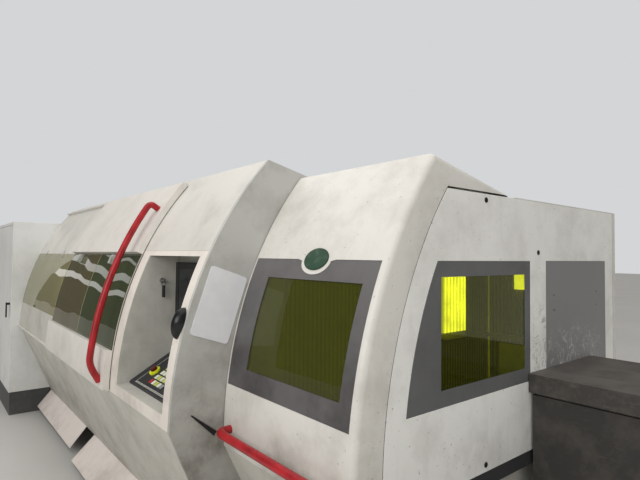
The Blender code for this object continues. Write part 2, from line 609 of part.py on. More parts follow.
# Monitor on the back wall
MONITOR_WIDTH = 0.52
MONITOR_HEIGHT = 0.40
MONITOR_DEPTH = 0.030
MONITOR_INSET = 0.012
MONITOR_BORDER = 0.035
SCREEN_SINK = 0.004
x_monitor = x_open_low + MONITOR_INSET
z_monitor = OPENING_TOP - MONITOR_BORDER - MONITOR_HEIGHT
y_monitor = y_desk_back - MONITOR_DEPTH
x_screen, x_screen_end = x_monitor + MONITOR_BORDER, x_monitor + MONITOR_WIDTH - MONITOR_BORDER
z_screen, z_screen_top = z_monitor + MONITOR_BORDER, z_monitor + MONITOR_HEIGHT - MONITOR_BORDER
monitor = block("monitor", (x_monitor, y_monitor, z_monitor),
                (x_monitor + MONITOR_WIDTH, y_desk_back, z_monitor + MONITOR_HEIGHT), BLACK_PLASTIC)
change(monitor, block("screen_pocket", (x_screen, y_monitor - CUT_OVERRUN, z_screen),
                      (x_screen_end, y_monitor + 2 * SCREEN_SINK, z_screen_top)))
block("monitor_screen", (x_screen + SEAT_GAP, y_monitor + SCREEN_SINK, z_screen + SEAT_GAP),
      (x_screen_end - SEAT_GAP, y_monitor + 2 * SCREEN_SINK - SEAT_GAP, z_screen_top - SEAT_GAP), SCREEN_DARK)

# Moulded black hand piece on the right post of the surround
POD_HEIGHT = 1.345
POD_LENGTH = 0.125
POD_WIDTH = 0.062
POD_THICK = 0.038
POD_TAPER_SHARE = 0.9
pod_angle = angle_at(POD_HEIGHT)
pod_mesh = bpy.data.meshes.new("hand_piece")
pod_work = bmesh.new()
bmesh.ops.create_uvsphere(pod_work, u_segments=20, v_segments=12, radius=1)
bmesh.ops.scale(pod_work, verts=pod_work.verts, vec=(POD_WIDTH / 2, POD_LENGTH / 2, POD_THICK))
bmesh.ops.bisect_plane(pod_work, geom=pod_work.verts[:] + pod_work.edges[:] + pod_work.faces[:], dist=0,
                       plane_co=(0, 0, 0), plane_no=(0, 0, -1), clear_outer=True)
bmesh.ops.holes_fill(pod_work, edges=[e for e in pod_work.edges if e.is_boundary])
for vert in pod_work.verts:
    if vert.co.y < 0:
        vert.co.x *= 1 + vert.co.y / POD_LENGTH * POD_TAPER_SHARE
for face in pod_work.faces:
    face.smooth = True
pod_work.to_mesh(pod_mesh)
pod_work.free()
hand_piece = bpy.data.objects.new("hand_piece", pod_mesh)
x_pod = (x_open_high + X_STEP) / 2
hand_piece.location = (x_pod, *on_arc(pod_angle, SEAT_GAP))
hand_piece.rotation_euler = (math.pi / 2 - pod_angle, 0, 0)
show(hand_piece, BLACK_PLASTIC)

# Wipe-clean board and tapered rubber strap on the outer face of the fin
BOARD_WIDTH = 0.190
BOARD_LENGTH = 0.310
BOARD_THICK = 0.003
BOARD_ROUND = 0.015
BOARD_HEIGHT = 1.46
BOARD_INSET = 0.131
STRAP_LENGTH = 0.150
STRAP_WIDTH = 0.022
STRAP_THICK = 0.003
STRAP_HEIGHT = 0.911
STRAP_INSET = 0.152
STRAP_TURN = math.radians(41)
STRAP_TIP_SHARE = 0.25


def on_fin(outline, centre, turn):
    """An outline laid on the fin, turned about its centre, as (Y, Z) points."""
    return [(centre[0] + u * math.cos(turn) - v * math.sin(turn),
             centre[1] + u * math.sin(turn) + v * math.cos(turn)) for u, v in outline]


board_angle = angle_at(BOARD_HEIGHT)
extrude("note_board", on_fin(rounded(-BOARD_WIDTH / 2, BOARD_WIDTH / 2, -BOARD_LENGTH / 2, BOARD_LENGTH / 2,
                                     BOARD_ROUND), on_arc(board_angle, -BOARD_INSET), -board_angle),
        X_STEP + SEAT_GAP, X_STEP + SEAT_GAP + BOARD_THICK, mat=BOARD_WHITE)
strap_tip = STRAP_WIDTH / 2 * STRAP_TIP_SHARE
strap_outline = [(-STRAP_LENGTH / 2, -strap_tip), (STRAP_LENGTH / 2, -STRAP_WIDTH / 2),
                 (STRAP_LENGTH / 2, STRAP_WIDTH / 2), (-STRAP_LENGTH / 2, strap_tip)]
extrude("fin_strap", on_fin(strap_outline, on_arc(angle_at(STRAP_HEIGHT), -STRAP_INSET), -STRAP_TURN),
        X_STEP + SEAT_GAP, X_STEP + SEAT_GAP + STRAP_THICK, mat=BLACK_PLASTIC)

# Hood: a deep pressed cover with a rounded outer corner, a bezel opening and an end flange
HOOD_SIDE_GAP = 0.005
CORNER_RADIUS = 0.025
FLANGE_WIDTH = 0.135
BEZEL_BOTTOM = 1.070
BEZEL_TOP = 1.627
BEZEL_SINK = 0.002
BEZEL_LEFT = 0.012
BEZEL_RIGHT = 0.030
TAB_HALF = 0.090
TAB_DEPTH = 0.060
TAB_FILLET = 0.028
TAB_FILLET_SHARE = 0.12
TAB_STEPS = 10
BADGE_X = 0.445
BADGE_HALF_WIDTH = 0.074
BADGE_HALF_HEIGHT = 0.048
BADGE_THICK = 0.003
x_cell = X_STEP + SEAT_GAP
x_hood = X_STEP + HOOD_SIDE_GAP
hood_drop = (CELL_RIDGE_HEIGHT - DECK_HEIGHT) / HOOD_ROOF_RUN


def cell_path(bottom):
    """The cell's section, up the front from a height, over the ridge to the deck."""
    front = [(on_arc(0, 0, Y_CELL_ARC)[0], bottom)]
    return front + arc_points(ARC_HEIGHT, CELL_RIDGE_HEIGHT, 0, Y_CELL_ARC) + [(Y_HOOD_REAR, DECK_HEIGHT)]


hood_path = cell_path(HOOD_BOTTOM)
hood_shell = extrude("hood_shell", hood_path + [(Y_HOOD_REAR, HOOD_BOTTOM)], x_hood, X_END,
                     mat=SHELL_WHITE)


def round_end(prism, radius):
    """Round the edges that a prism's far end face shares with its sides."""
    work = bmesh.new()
    work.from_mesh(prism.data)
    end = max(vert.co.z for vert in work.verts)
    rim = [e for e in work.edges if all(abs(v.co.z - end) < SEAT_GAP for v in e.verts)
           and len({round(f.normal.z) for f in e.link_faces}) > 1]
    bmesh.ops.bevel(work, geom=rim, offset=radius, segments=3, profile=0.5, affect="EDGES")
    work.to_mesh(prism.data)
    work.free()


round_end(hood_shell, CORNER_RADIUS)
inner_path = inset(hood_path, SHEET)
hood_hollow = extrude("hood_hollow", [(inner_path[0][0], HOOD_BOTTOM - CUT_OVERRUN)] + inner_path[1:-1]
                      + [(Y_HOOD_REAR + CUT_OVERRUN, inner_path[-1][1] - CUT_OVERRUN * hood_drop),
                         (Y_HOOD_REAR + CUT_OVERRUN, HOOD_BOTTOM - CUT_OVERRUN)],
                      x_hood - CUT_OVERRUN, X_END - SHEET)
round_end(hood_hollow, CORNER_RADIUS - SHEET)


def panel_curve(low, high, distance):
    """Points up the hood's front at a distance inside its outer face, upright below the arc's centre."""
    radius = HULL_RADIUS - distance
    start, stop = angle_at(low, radius), angle_at(high, radius)
    angles = [start + (stop - start) * i / ARC_STEPS for i in range(ARC_STEPS + 1)]
    return [(Y_CELL_ARC - radius * math.cos(max(angle, 0)), ARC_HEIGHT + radius * math.sin(angle))
            for angle in angles]


flange_top = DECK_HEIGHT + PANEL_GAP
flange_window = (panel_curve(HOOD_BOTTOM - CUT_OVERRUN, flange_top, FLANGE_WIDTH)
                 + [(Y_HOOD_REAR + CUT_OVERRUN, flange_top),
                    (Y_HOOD_REAR + CUT_OVERRUN, HOOD_BOTTOM - CUT_OVERRUN)])
hood_flange_window = extrude("hood_flange_window", flange_window, X_END - CORNER_RADIUS, X_END + CUT_OVERRUN)
x_badge = X_STEP + BADGE_X


def bezel_outline(spare):
    """Bezel outline in (X, Z) with the tab for the badge cut from its top edge, smaller by spare."""
    left, right = X_STEP + BEZEL_LEFT + spare, X_END - BEZEL_RIGHT - spare
    low, high = BEZEL_BOTTOM + spare, BEZEL_TOP - spare
    half, deep = TAB_HALF + spare, TAB_DEPTH + spare
    tab = [(x_badge + half + TAB_FILLET, high)]
    for i in range(TAB_STEPS + 1):
        turn = math.pi * i / TAB_STEPS
        tab.append((x_badge + half * math.cos(turn),
                    high - deep * math.sin(turn) * (1 - TAB_FILLET_SHARE) - deep * TAB_FILLET_SHARE))
    tab.append((x_badge - half - TAB_FILLET, high))
    return [(left, low), (right, low), (right, high)] + tab + [(left, high)]


hood_opening = extrude("hood_opening", bezel_outline(0), -DEPTH, TUBE_AXIS_Y, along="Y")
for cutter in (hood_hollow, hood_flange_window, hood_opening):
    change(hood_shell, cutter)

# Bezel plate in the hood, with the laser-safe pane behind it
HOOD_WINDOW_LEFT = 0.150
HOOD_WINDOW_RIGHT = 0.092
HOOD_WINDOW_BOTTOM = 1.153
HOOD_WINDOW_TOP = 1.545
PANE_LAP = 0.020
PANE = 0.006
hood_bezel = extrude("hood_bezel", arc_slab(BEZEL_BOTTOM - CUT_OVERRUN, BEZEL_TOP + CUT_OVERRUN,
                                            -BEZEL_SINK - SHEET, -BEZEL_SINK, Y_CELL_ARC),
                     x_hood, X_END - SHEET - SEAT_GAP, mat=BEZEL_GREY)
bezel_form = extrude("bezel_form", bezel_outline(SEAT_GAP), -DEPTH, TUBE_AXIS_Y, along="Y")
change(hood_bezel, bezel_form, "INTERSECT")
x_window_low, x_window_high = X_STEP + HOOD_WINDOW_LEFT, X_END - HOOD_WINDOW_RIGHT
change(hood_bezel, block("hood_window_hole", (x_window_low, -DEPTH, HOOD_WINDOW_BOTTOM),
                         (x_window_high, TUBE_AXIS_Y, HOOD_WINDOW_TOP)))
pane_back = -BEZEL_SINK - SHEET - SEAT_GAP
extrude("hood_window", arc_slab(HOOD_WINDOW_BOTTOM - PANE_LAP, HOOD_WINDOW_TOP + PANE_LAP, pane_back - PANE,
                                pane_back, Y_CELL_ARC), x_window_low - PANE_LAP, x_window_high + PANE_LAP,
        mat=SAFETY_GREEN, smooth=True)
badge_angle = angle_at(BEZEL_TOP)
badge = extrude("hood_badge", ellipse(0, 0, BADGE_HALF_WIDTH, BADGE_HALF_HEIGHT), 0, BADGE_THICK, along="Z",
                mat=BADGE_GREEN)
badge.location = (x_badge, *on_arc(badge_angle, BADGE_THICK / 2 + SEAT_GAP, Y_CELL_ARC))
badge.rotation_euler = (math.pi / 2 - badge_angle, 0, 0)

# Hood handle: a straight red tube on two bent legs
HOOD_HANDLE_HEIGHT = 0.885
HOOD_HANDLE_INSET = 0.062
handle_face = on_arc(0, SEAT_GAP, Y_CELL_ARC)[0]
y_run = handle_face - HANDLE_REACH
x_leg_low, x_leg_high = X_STEP + HOOD_HANDLE_INSET, X_END - HOOD_HANDLE_INSET
swings = [math.pi / 2 * i / BEND_STEPS for i in range(BEND_STEPS + 1)]
leg = [(x_leg_low, handle_face)] + [(x_leg_low + HANDLE_BEND * (1 - math.cos(swing)),
                                     y_run + HANDLE_BEND * (1 - math.sin(swing))) for swing in swings]
far_leg = [(x_leg_low + x_leg_high - x, y) for x, y in leg[::-1]]
tube("hood_handle", [(x, y, HOOD_HANDLE_HEIGHT) for x, y in leg + far_leg], HANDLE_RADIUS, HANDLE_RED)

# Rear shell of the cell: flat deck, back wall, the post beside the end panel and the hood's hinge
HINGE_RADIUS = 0.008
HINGE_INSET = 0.10
PANEL_BACK_INSET = 0.042
PANEL_RIGHT = Y_BACK - PANEL_BACK_INSET
rear_outline = box_outline(Y_HOOD_REAR + SEAT_GAP, Y_BACK, SKIRT_HEIGHT, DECK_HEIGHT)
rear_shell = extrude("cell_rear_shell", rear_outline, x_hood, X_END, mat=SHELL_WHITE)
change(rear_shell, block("rear_hollow", (x_cell - CUT_OVERRUN, -DEPTH, SKIRT_HEIGHT - CUT_OVERRUN),
                         (X_END - SHEET, Y_BACK - SHEET, DECK_HEIGHT - SHEET)))
change(rear_shell, block("rear_end_window", (X_END - CORNER_RADIUS, -DEPTH, SKIRT_HEIGHT - CUT_OVERRUN),
                         (X_END + CUT_OVERRUN, PANEL_RIGHT + PANEL_GAP, DECK_HEIGHT - SHEET)))
y_hinge = Y_HOOD_REAR + HINGE_RADIUS + SLIDE_GAP
z_hinge = DECK_HEIGHT + HINGE_RADIUS - SHEET / 2
hinge_length = CELL_WIDTH - 2 * HINGE_INSET
hinge_barrel = turned("hinge_barrel", [(0, 0), (HINGE_RADIUS, 0), (HINGE_RADIUS, hinge_length),
                                       (0, hinge_length)],
                      (X_STEP + HINGE_INSET, y_hinge, z_hinge), (1, 0, 0), steps=12)
change(rear_shell, hinge_barrel, "UNION")

# Skirt under the hood, undercut like the loader's, folded round onto the recessed end
END_SKIRT_INSET = 0.060
skirt_front = on_arc(0, 0, Y_CELL_ARC)[0]
cell_skirt_path = [(skirt_front + SKIRT_RUN, SKIRT_HEIGHT), (skirt_front + SHEET, HOOD_BOTTOM - SLIDE_GAP)]
x_skirt_end = X_END - END_SKIRT_INSET
cell_skirt = extrude("cell_skirt", skin(cell_skirt_path), x_cell, x_skirt_end, mat=SHELL_GREY)
z_skirt_top = BED_TOP - SEAT_GAP
mid_low, mid_high = inset(cell_skirt_path, SHEET / 2)
y_end_skirt = Y_BACK - SHEET - SEAT_GAP
end_skirt = extrude("end_skirt", [mid_low, (y_end_skirt, mid_low[1]), (y_end_skirt, mid_high[1]), mid_high],
                    x_skirt_end - SHEET * 3 / 2, x_skirt_end - SHEET / 2)
change(cell_skirt, end_skirt, "UNION")
frame_room = block("frame_room", (x_skirt_end - 2 * SHEET, skirt_front + 2 * SHEET, z_skirt_top),
                   (x_skirt_end + CUT_OVERRUN, Y_BACK, z_skirt_top + HOOD_BOTTOM))
change(cell_skirt, frame_room)

# End frame: a heavy ring behind the end panel, on the end of the bed
FRAME_DEPTH = 0.100
FRAME_BAR = 0.045
FLAP = 0.003
PANEL_RISE = 0.065
x_panel = X_END - SHEET
x_frame = x_panel - SEAT_GAP
panel_edge = FLANGE_WIDTH + PANEL_GAP
y_frame_right = PANEL_RIGHT - PANEL_GAP
z_frame_low = BED_TOP + SEAT_GAP
frame_outer = (panel_curve(z_frame_low, DECK_HEIGHT - 2 * SHEET, panel_edge + FLAP)
               + [(y_frame_right, DECK_HEIGHT - 2 * SHEET), (y_frame_right, z_frame_low)])
z_panel = BED_TOP + PANEL_RISE
frame_low = z_panel + FRAME_BAR / 2
frame_inner = (panel_curve(frame_low, DECK_HEIGHT - FRAME_BAR, panel_edge + FRAME_BAR)
               + [(y_frame_right - FRAME_BAR, DECK_HEIGHT - FRAME_BAR),
                  (y_frame_right - FRAME_BAR, frame_low)])
extrude("end_frame", frame_outer, x_frame - FRAME_DEPTH, x_frame, mat=BED_GREY, holes=(frame_inner,))

# End panel with a flush grey bezel, its window, a flush blank plate and the port into the bin
END_BEZEL_DROP = 0.284
END_BEZEL_LIFT = 0.312
END_BEZEL_INSET = 1.487
END_BEZEL_EDGE = 0.240
END_WINDOW_EDGE = 0.049
END_WINDOW_SIDE = 0.048
END_WINDOW_SILL = 0.063
END_WINDOW_HEAD = 0.061
PLATE_SPACE = 0.150
PLATE_BACK_INSET = 0.147
PLATE_LIFT = 0.235
PLATE_HOLE_RADIUS = 0.005
PLATE_HOLE_LEFT = 0.085
PLATE_HOLE_RIGHT = 0.126
PLATE_HOLE_DROP = 0.169
PLATE_HOLE_PITCH = 0.072
PORT_LIFT = 0.025
PORT_HEIGHT = 0.170
PORT_INSET = 0.090
BIN_BACK_INSET = 0.372
BIN_DEPTH = 0.640
LOCK_RADIUS = 0.011
TOP_LOCK_INSET = 0.264
TOP_LOCK_DROP = 0.030
MID_LOCK_INSET = 0.076
MID_LOCK_LIFT = 0.040
LOW_LOCK_INSET = 0.371
LOW_LOCK_LIFT = 0.029
INLAY_SINK = 0.001
z_end_low, z_end_high = z_panel + END_BEZEL_LIFT, DECK_HEIGHT - END_BEZEL_DROP
y_end_bezel = Y_FRONT + END_BEZEL_INSET
y_bin_back = Y_BACK - BIN_BACK_INSET
y_bin = y_bin_back - BIN_DEPTH


def end_bezel_outline(spare):
    """The end bezel, with one edge curved like the hull."""
    curve = panel_curve(z_end_low + spare, z_end_high - spare, END_BEZEL_EDGE + spare)
    right = y_end_bezel - spare
    return curve + [(right, z_end_high - spare), (right, z_end_low + spare)]


z_panel_top = DECK_HEIGHT - SHEET - SEAT_GAP
panel_front = panel_curve(z_panel, z_panel_top, panel_edge)
z_pane, z_pane_top = z_end_low + END_WINDOW_SILL, z_end_high - END_WINDOW_HEAD
y_pane = panel_curve(z_pane, z_pane_top, END_BEZEL_EDGE + END_WINDOW_EDGE)[-1][0]
y_pane_end = y_end_bezel - END_WINDOW_SIDE
y_plate, y_plate_end = y_end_bezel + PLATE_SPACE, Y_BACK - PLATE_BACK_INSET
z_plate, z_plate_top = z_panel + PLATE_LIFT, z_end_high + INLAY_SINK
y_port, y_port_end = y_bin + PORT_INSET, y_bin_back - PORT_INSET
z_port, z_port_top = z_panel + PORT_LIFT, z_panel + PORT_LIFT + PORT_HEIGHT
locks = ((panel_front[-1][0] + TOP_LOCK_INSET, DECK_HEIGHT - TOP_LOCK_DROP),
         (y_end_bezel + MID_LOCK_INSET, z_end_high + MID_LOCK_LIFT),
         (y_end_bezel - LOW_LOCK_INSET, z_panel + LOW_LOCK_LIFT))
lock_holes = [ellipse(y, z, LOCK_RADIUS + SEAT_GAP, LOCK_RADIUS + SEAT_GAP, 16) for y, z in locks]
extrude("end_panel", panel_front + [(PANEL_RIGHT, z_panel_top), (PANEL_RIGHT, z_panel)], x_panel, X_END,
        mat=SHELL_WHITE, holes=(end_bezel_outline(0), box_outline(y_plate, y_plate_end, z_plate, z_plate_top),
                                box_outline(y_port, y_port_end, z_port, z_port_top), *lock_holes))
extrude("end_bezel", end_bezel_outline(SEAT_GAP), x_panel, X_END - INLAY_SINK, mat=BEZEL_GREY,
        holes=(box_outline(y_pane, y_pane_end, z_pane, z_pane_top),))
extrude("end_window", box_outline(y_pane - PANE_LAP, y_pane_end + PANE_LAP, z_pane - PANE_LAP,
                                  z_pane_top + PANE_LAP),
        x_panel - SEAT_GAP - PANE, x_panel - SEAT_GAP, mat=SAFETY_YELLOW)
plate_holes = [ellipse(y, z_plate_top - PLATE_HOLE_DROP - PLATE_HOLE_PITCH * row, PLATE_HOLE_RADIUS,
                       PLATE_HOLE_RADIUS, 8)
               for y in (y_plate + PLATE_HOLE_LEFT, y_plate_end - PLATE_HOLE_RIGHT) for row in range(2)]
extrude("blank_plate", box_outline(y_plate + SEAT_GAP, y_plate_end - SEAT_GAP, z_plate + SEAT_GAP,
                                   z_plate_top - SEAT_GAP),
        x_panel, X_END - INLAY_SINK, mat=BEZEL_GREY, holes=plate_holes)
for i, (y, z) in enumerate(locks):
    turned(f"panel_lock_{i}", [(0, 0), (LOCK_RADIUS, 0), (LOCK_RADIUS, SHEET + LOCK_RADIUS / 5),
                               (0, SHEET + LOCK_RADIUS / 5)], (x_panel, y, z), (1, 0, 0), BLACK_PLASTIC,
           steps=16)

# Kick plates: slanted sheets hung under the skirt, the right one in front of the left one
KICK_FLANGE = 0.030
KICK_LEFT_WIDTH = 1.41
KICK_RIGHT_INSET = 0.12
KICK_LEFT_RUN = 0.125
KICK_RIGHT_RUN = 0.165
KICK_LEFT_BOTTOM = 0.05
KICK_RIGHT_BOTTOM = 0.04
z_kick = SKIRT_HEIGHT - SEAT_GAP
for side, run, bottom, x_low, x_high in (
        ("left", KICK_LEFT_RUN, KICK_LEFT_BOTTOM, X_HULL + SEAT_GAP, X_HULL + KICK_LEFT_WIDTH),
        ("right", KICK_RIGHT_RUN, KICK_RIGHT_BOTTOM, X_DOOR + KICK_RIGHT_INSET, x_sheet_end)):
    kick_path = [(Y_SKIRT - run, bottom), (Y_SKIRT, z_kick), (Y_SKIRT + KICK_FLANGE, z_kick)]
    extrude(f"kick_plate_{side}", skin(kick_path), x_low, x_high, mat=KICK_PINK)

# Electrical cabinet on a dark plinth, with a door that swings on its left edge and a lever
CABINET_HEIGHT = 1.96
PLINTH_HEIGHT = 0.23
PLINTH_INSET = 0.010
CABINET_DOOR_INSET = 0.030
CABINET_DOOR_THICK = 0.020
LEVER_REACH = 0.037
LEVER_THICK = 0.012
LEVER_WIDTH = 0.026
LEVER_LENGTH = 0.150
LEVER_INSET = 0.050
LEVER_HEIGHT = 1.12
BOSS_RADIUS = 0.012
y_cabinet = Y_FRONT + LEVER_REACH
block("cabinet_plinth", (X_LEFT + PLINTH_INSET, y_cabinet + PLINTH_INSET, 0),
      (X_HULL - PLINTH_INSET, Y_BACK - PLINTH_INSET, PLINTH_HEIGHT - SEAT_GAP), PLINTH_DARK)
cabinet = block("cabinet_body", (X_LEFT, y_cabinet, PLINTH_HEIGHT), (X_HULL, Y_BACK, CABINET_HEIGHT),
                CABINET_GREY)
x_leaf, x_leaf_end = X_LEFT + CABINET_DOOR_INSET, X_HULL - CABINET_DOOR_INSET
z_leaf, z_leaf_top = PLINTH_HEIGHT + CABINET_DOOR_INSET, CABINET_HEIGHT - CABINET_DOOR_INSET
y_leaf_back = y_cabinet + CABINET_DOOR_THICK
change(cabinet, block("cabinet_hollow", (X_LEFT + SHEET, y_leaf_back + SEAT_GAP, PLINTH_HEIGHT + SHEET),
                      (X_HULL - SHEET, Y_BACK - SHEET, CABINET_HEIGHT - SHEET)))
change(cabinet, block("cabinet_doorway", (x_leaf, y_cabinet - CUT_OVERRUN, z_leaf),
                      (x_leaf_end, y_leaf_back + CUT_OVERRUN, z_leaf_top)))
block("cabinet_door", (x_leaf + SEAT_GAP, y_cabinet, z_leaf + SLIDE_GAP),
      (x_leaf_end - SLIDE_GAP, y_leaf_back, z_leaf_top - SLIDE_GAP), CABINET_GREY)
x_lever = x_leaf_end - LEVER_INSET
z_lever = LEVER_HEIGHT + LEVER_WIDTH / 2
lever = block("cabinet_lever", (x_lever - LEVER_WIDTH / 2, Y_FRONT, z_lever - LEVER_LENGTH),
              (x_lever + LEVER_WIDTH / 2, Y_FRONT + LEVER_THICK, z_lever), BLACK_PLASTIC)
boss_length = LEVER_REACH - LEVER_THICK / 2 - SEAT_GAP
change(lever, turned("lever_boss", [(0, 0), (BOSS_RADIUS, 0), (BOSS_RADIUS, boss_length), (0, boss_length)],
                     (x_lever, y_cabinet - SEAT_GAP, LEVER_HEIGHT), (0, -1, 0), steps=12), "UNION")

# Outfeed bin: a steel box with a port from the cell, a raised neck and an overhanging lid
PORT_HEAD = 0.058
BIN_GAP = 0.011
LID_LIFT = 0.012
LID_HEIGHT = 0.085
LID_OVERHANG = 0.018
LID_RIM = 0.010
NECK_INSET = 0.012
BIN_SHEET = 0.004
PIN_RADIUS = 0.009
PIN_INSET = 0.100
x_bin, x_bin_end = X_END + BIN_GAP, X_RIGHT - LID_RIM
z_bin = z_port_top + PORT_HEAD
z_lid = z_bin + LID_LIFT
z_lid_top = z_lid + LID_HEIGHT
bin_body = block("outfeed_bin", (x_bin, y_bin, 0), (x_bin_end, y_bin_back, z_bin), BIN_STEEL)
neck = block("bin_neck", (x_bin + NECK_INSET, y_bin + NECK_INSET, z_bin - CUT_OVERRUN),
             (x_bin_end - NECK_INSET, y_bin_back - NECK_INSET, z_lid_top - BIN_SHEET - SEAT_GAP))
neck_wall = NECK_INSET + BIN_SHEET
bin_hollow = block("bin_hollow", (x_bin + BIN_SHEET, y_bin + BIN_SHEET, BIN_SHEET),
                   (x_bin_end - BIN_SHEET, y_bin_back - BIN_SHEET, z_bin - BIN_SHEET))
neck_hole = block("neck_hole", (x_bin + neck_wall, y_bin + neck_wall, z_bin - CUT_OVERRUN),
                  (x_bin_end - neck_wall, y_bin_back - neck_wall, z_lid_top + CUT_OVERRUN))
bin_port = block("bin_port", (X_END - CUT_OVERRUN, y_port, z_port),
                 (x_bin + NECK_INSET, y_port_end, z_port_top))
y_pin = y_bin_back + LID_OVERHANG + PIN_RADIUS
z_pin = z_lid - PIN_RADIUS - SLIDE_GAP
y_knuckle = y_bin_back - BIN_SHEET / 2
knuckle = block("bin_knuckle", (x_bin + PIN_INSET, y_knuckle, z_pin - PIN_RADIUS),
                (x_bin_end - PIN_INSET, y_pin, z_pin))
pin_length = x_bin_end - x_bin - 2 * PIN_INSET
pin = turned("bin_pin", [(0, 0), (PIN_RADIUS, 0), (PIN_RADIUS, pin_length), (0, pin_length)],
             (x_bin + PIN_INSET, y_pin, z_pin), (1, 0, 0), steps=12)
for other, how in ((neck, "UNION"), (bin_hollow, "DIFFERENCE"), (neck_hole, "DIFFERENCE"),
                   (bin_port, "DIFFERENCE"), (knuckle, "UNION"), (pin, "UNION")):
    change(bin_body, other, how)
x_lid = X_END + SEAT_GAP
lid = block("outfeed_lid", (x_lid, y_bin - LID_OVERHANG, z_lid),
            (X_RIGHT, y_bin_back + LID_OVERHANG, z_lid_top), BIN_STEEL)
change(lid, block("lid_hollow", (x_lid + BIN_SHEET, y_bin - LID_OVERHANG + BIN_SHEET,
                                 z_lid - CUT_OVERRUN),
                  (X_RIGHT - BIN_SHEET, y_bin_back + LID_OVERHANG - BIN_SHEET, z_lid_top - BIN_SHEET)))

# Folded bellows curtain and ribbed lamp on the cell side of the step bulkhead
BELLOWS_FRONT_INSET = 0.697
BELLOWS_FOLDS = 50
BELLOWS_CLEAR = 0.010
BELLOWS_DEEP = 0.024
BELLOWS_SKIN = 0.006
COLLAR_CLEAR = 0.015
LAMP_BACK_INSET = 0.317
LAMP_WIDTH = 0.250
LAMP_HEIGHT = 0.360
LAMP_DROP = 0.050
LAMP_SPACE = 0.020
LAMP_THICK = 0.030
z_beam = GANTRY_TOP - GANTRY_DROP
y_lamp_end = Y_BACK - LAMP_BACK_INSET
y_lamp = y_lamp_end - LAMP_WIDTH
z_lamp_top = z_beam - LAMP_DROP
y_fold, y_fold_end = Y_FRONT + BELLOWS_FRONT_INSET, y_lamp - LAMP_SPACE
fold_step = (y_fold_end - y_fold) / BELLOWS_FOLDS / 2
x_fold = X_STEP + SEAT_GAP + BELLOWS_SKIN
zigzag = [(x_fold + BELLOWS_DEEP * (i % 2), y_fold + fold_step * i) for i in range(2 * BELLOWS_FOLDS + 1)]
bellows_back = [(X_STEP + SEAT_GAP, y_fold_end), (X_STEP + SEAT_GAP, y_fold)]
bellows = extrude("side_bellows", zigzag + bellows_back, BED_TOP + SEAT_GAP, z_beam - BELLOWS_CLEAR,
                  along="Z", mat=BELLOWS_GREY)
hole_radius = PASSAGE_RADIUS + COLLAR_CLEAR
change(bellows, extrude("bellows_hole", ellipse(TUBE_AXIS_Y, TUBE_AXIS_Z, hole_radius, hole_radius, 24),
                        X_STEP - CUT_OVERRUN, X_STEP + 2 * CUT_OVERRUN))
block("lamp_panel", (X_STEP + SEAT_GAP, y_lamp, z_lamp_top - LAMP_HEIGHT),
      (X_STEP + LAMP_THICK, y_lamp_end, z_lamp_top), LAMP_WHITE, edge=SHEET)

# Cutting head on its carriage, on the front of the gantry beam
SADDLE_WIDTH = 0.18
SADDLE_THICK = 0.04
SADDLE_DROP = 0.10
HEAD_RADIUS = 0.045
NOZZLE_RADIUS = 0.008
HEAD_BODY = 0.26
HEAD_CONE = 0.06
HEAD_CLEAR = 0.10
HEAD_STANDOFF = 0.012
x_saddle = X_STEP + GANTRY_DEPTH + SEAT_GAP
block("head_carriage", (x_saddle, TUBE_AXIS_Y - SADDLE_WIDTH / 2, z_beam - SADDLE_DROP),
      (x_saddle + SADDLE_THICK, TUBE_AXIS_Y + SADDLE_WIDTH / 2, GANTRY_TOP), CABINET_GREY, edge=SHEET)
x_head = x_saddle + SADDLE_THICK + HEAD_STANDOFF + HEAD_RADIUS
head = turned("cutting_head", [(0, 0), (NOZZLE_RADIUS, 0), (HEAD_RADIUS, HEAD_CONE),
                               (HEAD_RADIUS, HEAD_CONE + HEAD_BODY), (0, HEAD_CONE + HEAD_BODY)],
              (x_head, TUBE_AXIS_Y, TUBE_AXIS_Z + HEAD_CLEAR), (0, 0, 1), STEEL)
z_slide = TUBE_AXIS_Z + HEAD_CLEAR + HEAD_CONE + HEAD_BODY / 2
change(head, block("head_slide", (x_saddle + SADDLE_THICK + SEAT_GAP, TUBE_AXIS_Y - HEAD_RADIUS, z_slide),
                   (x_head, TUBE_AXIS_Y + HEAD_RADIUS, z_slide + HEAD_BODY / 3)), "UNION")

# Rotating chucks: one in the passage through the bulkhead, one on a carriage that pushes the tube
CHUCK_BORE = 0.080
CHUCK_THICK = 0.080
CARRIAGE_INSET = 0.080
CARRIAGE_LENGTH = 0.30
CARRIAGE_FRONT = 0.42
REAR_CHUCK_RADIUS = 0.17
JAW_WIDTH = 0.040
JAW_REACH = 0.050
JAW_LENGTH = 0.100


def chuck(name, x_face, radius, forward):
    """A ring that turns on the tube's axis, with four jaws round its bore."""
    made = turned(name, [(CHUCK_BORE, 0), (radius, 0), (radius, CHUCK_THICK), (CHUCK_BORE, CHUCK_THICK),
                         (CHUCK_BORE, 0)],
                  (x_face, TUBE_AXIS_Y, TUBE_AXIS_Z), (1, 0, 0), STEEL, steps=ROUND_STEPS)
    for i in range(4):
        jaw = block(f"{name}_jaw_{i}", (x_face + CHUCK_THICK / 2, -JAW_WIDTH / 2, CHUCK_BORE - JAW_REACH),
                    (x_face + CHUCK_THICK + forward, JAW_WIDTH / 2, radius - JAW_REACH / 2))
        middle = jaw.location.z
        turn = math.pi / 2 * i + math.pi / 4
        jaw.location.yz = (TUBE_AXIS_Y - middle * math.sin(turn), TUBE_AXIS_Z + middle * math.cos(turn))
        jaw.rotation_euler = (turn, 0, 0)
        change(made, jaw, "UNION")
    return made


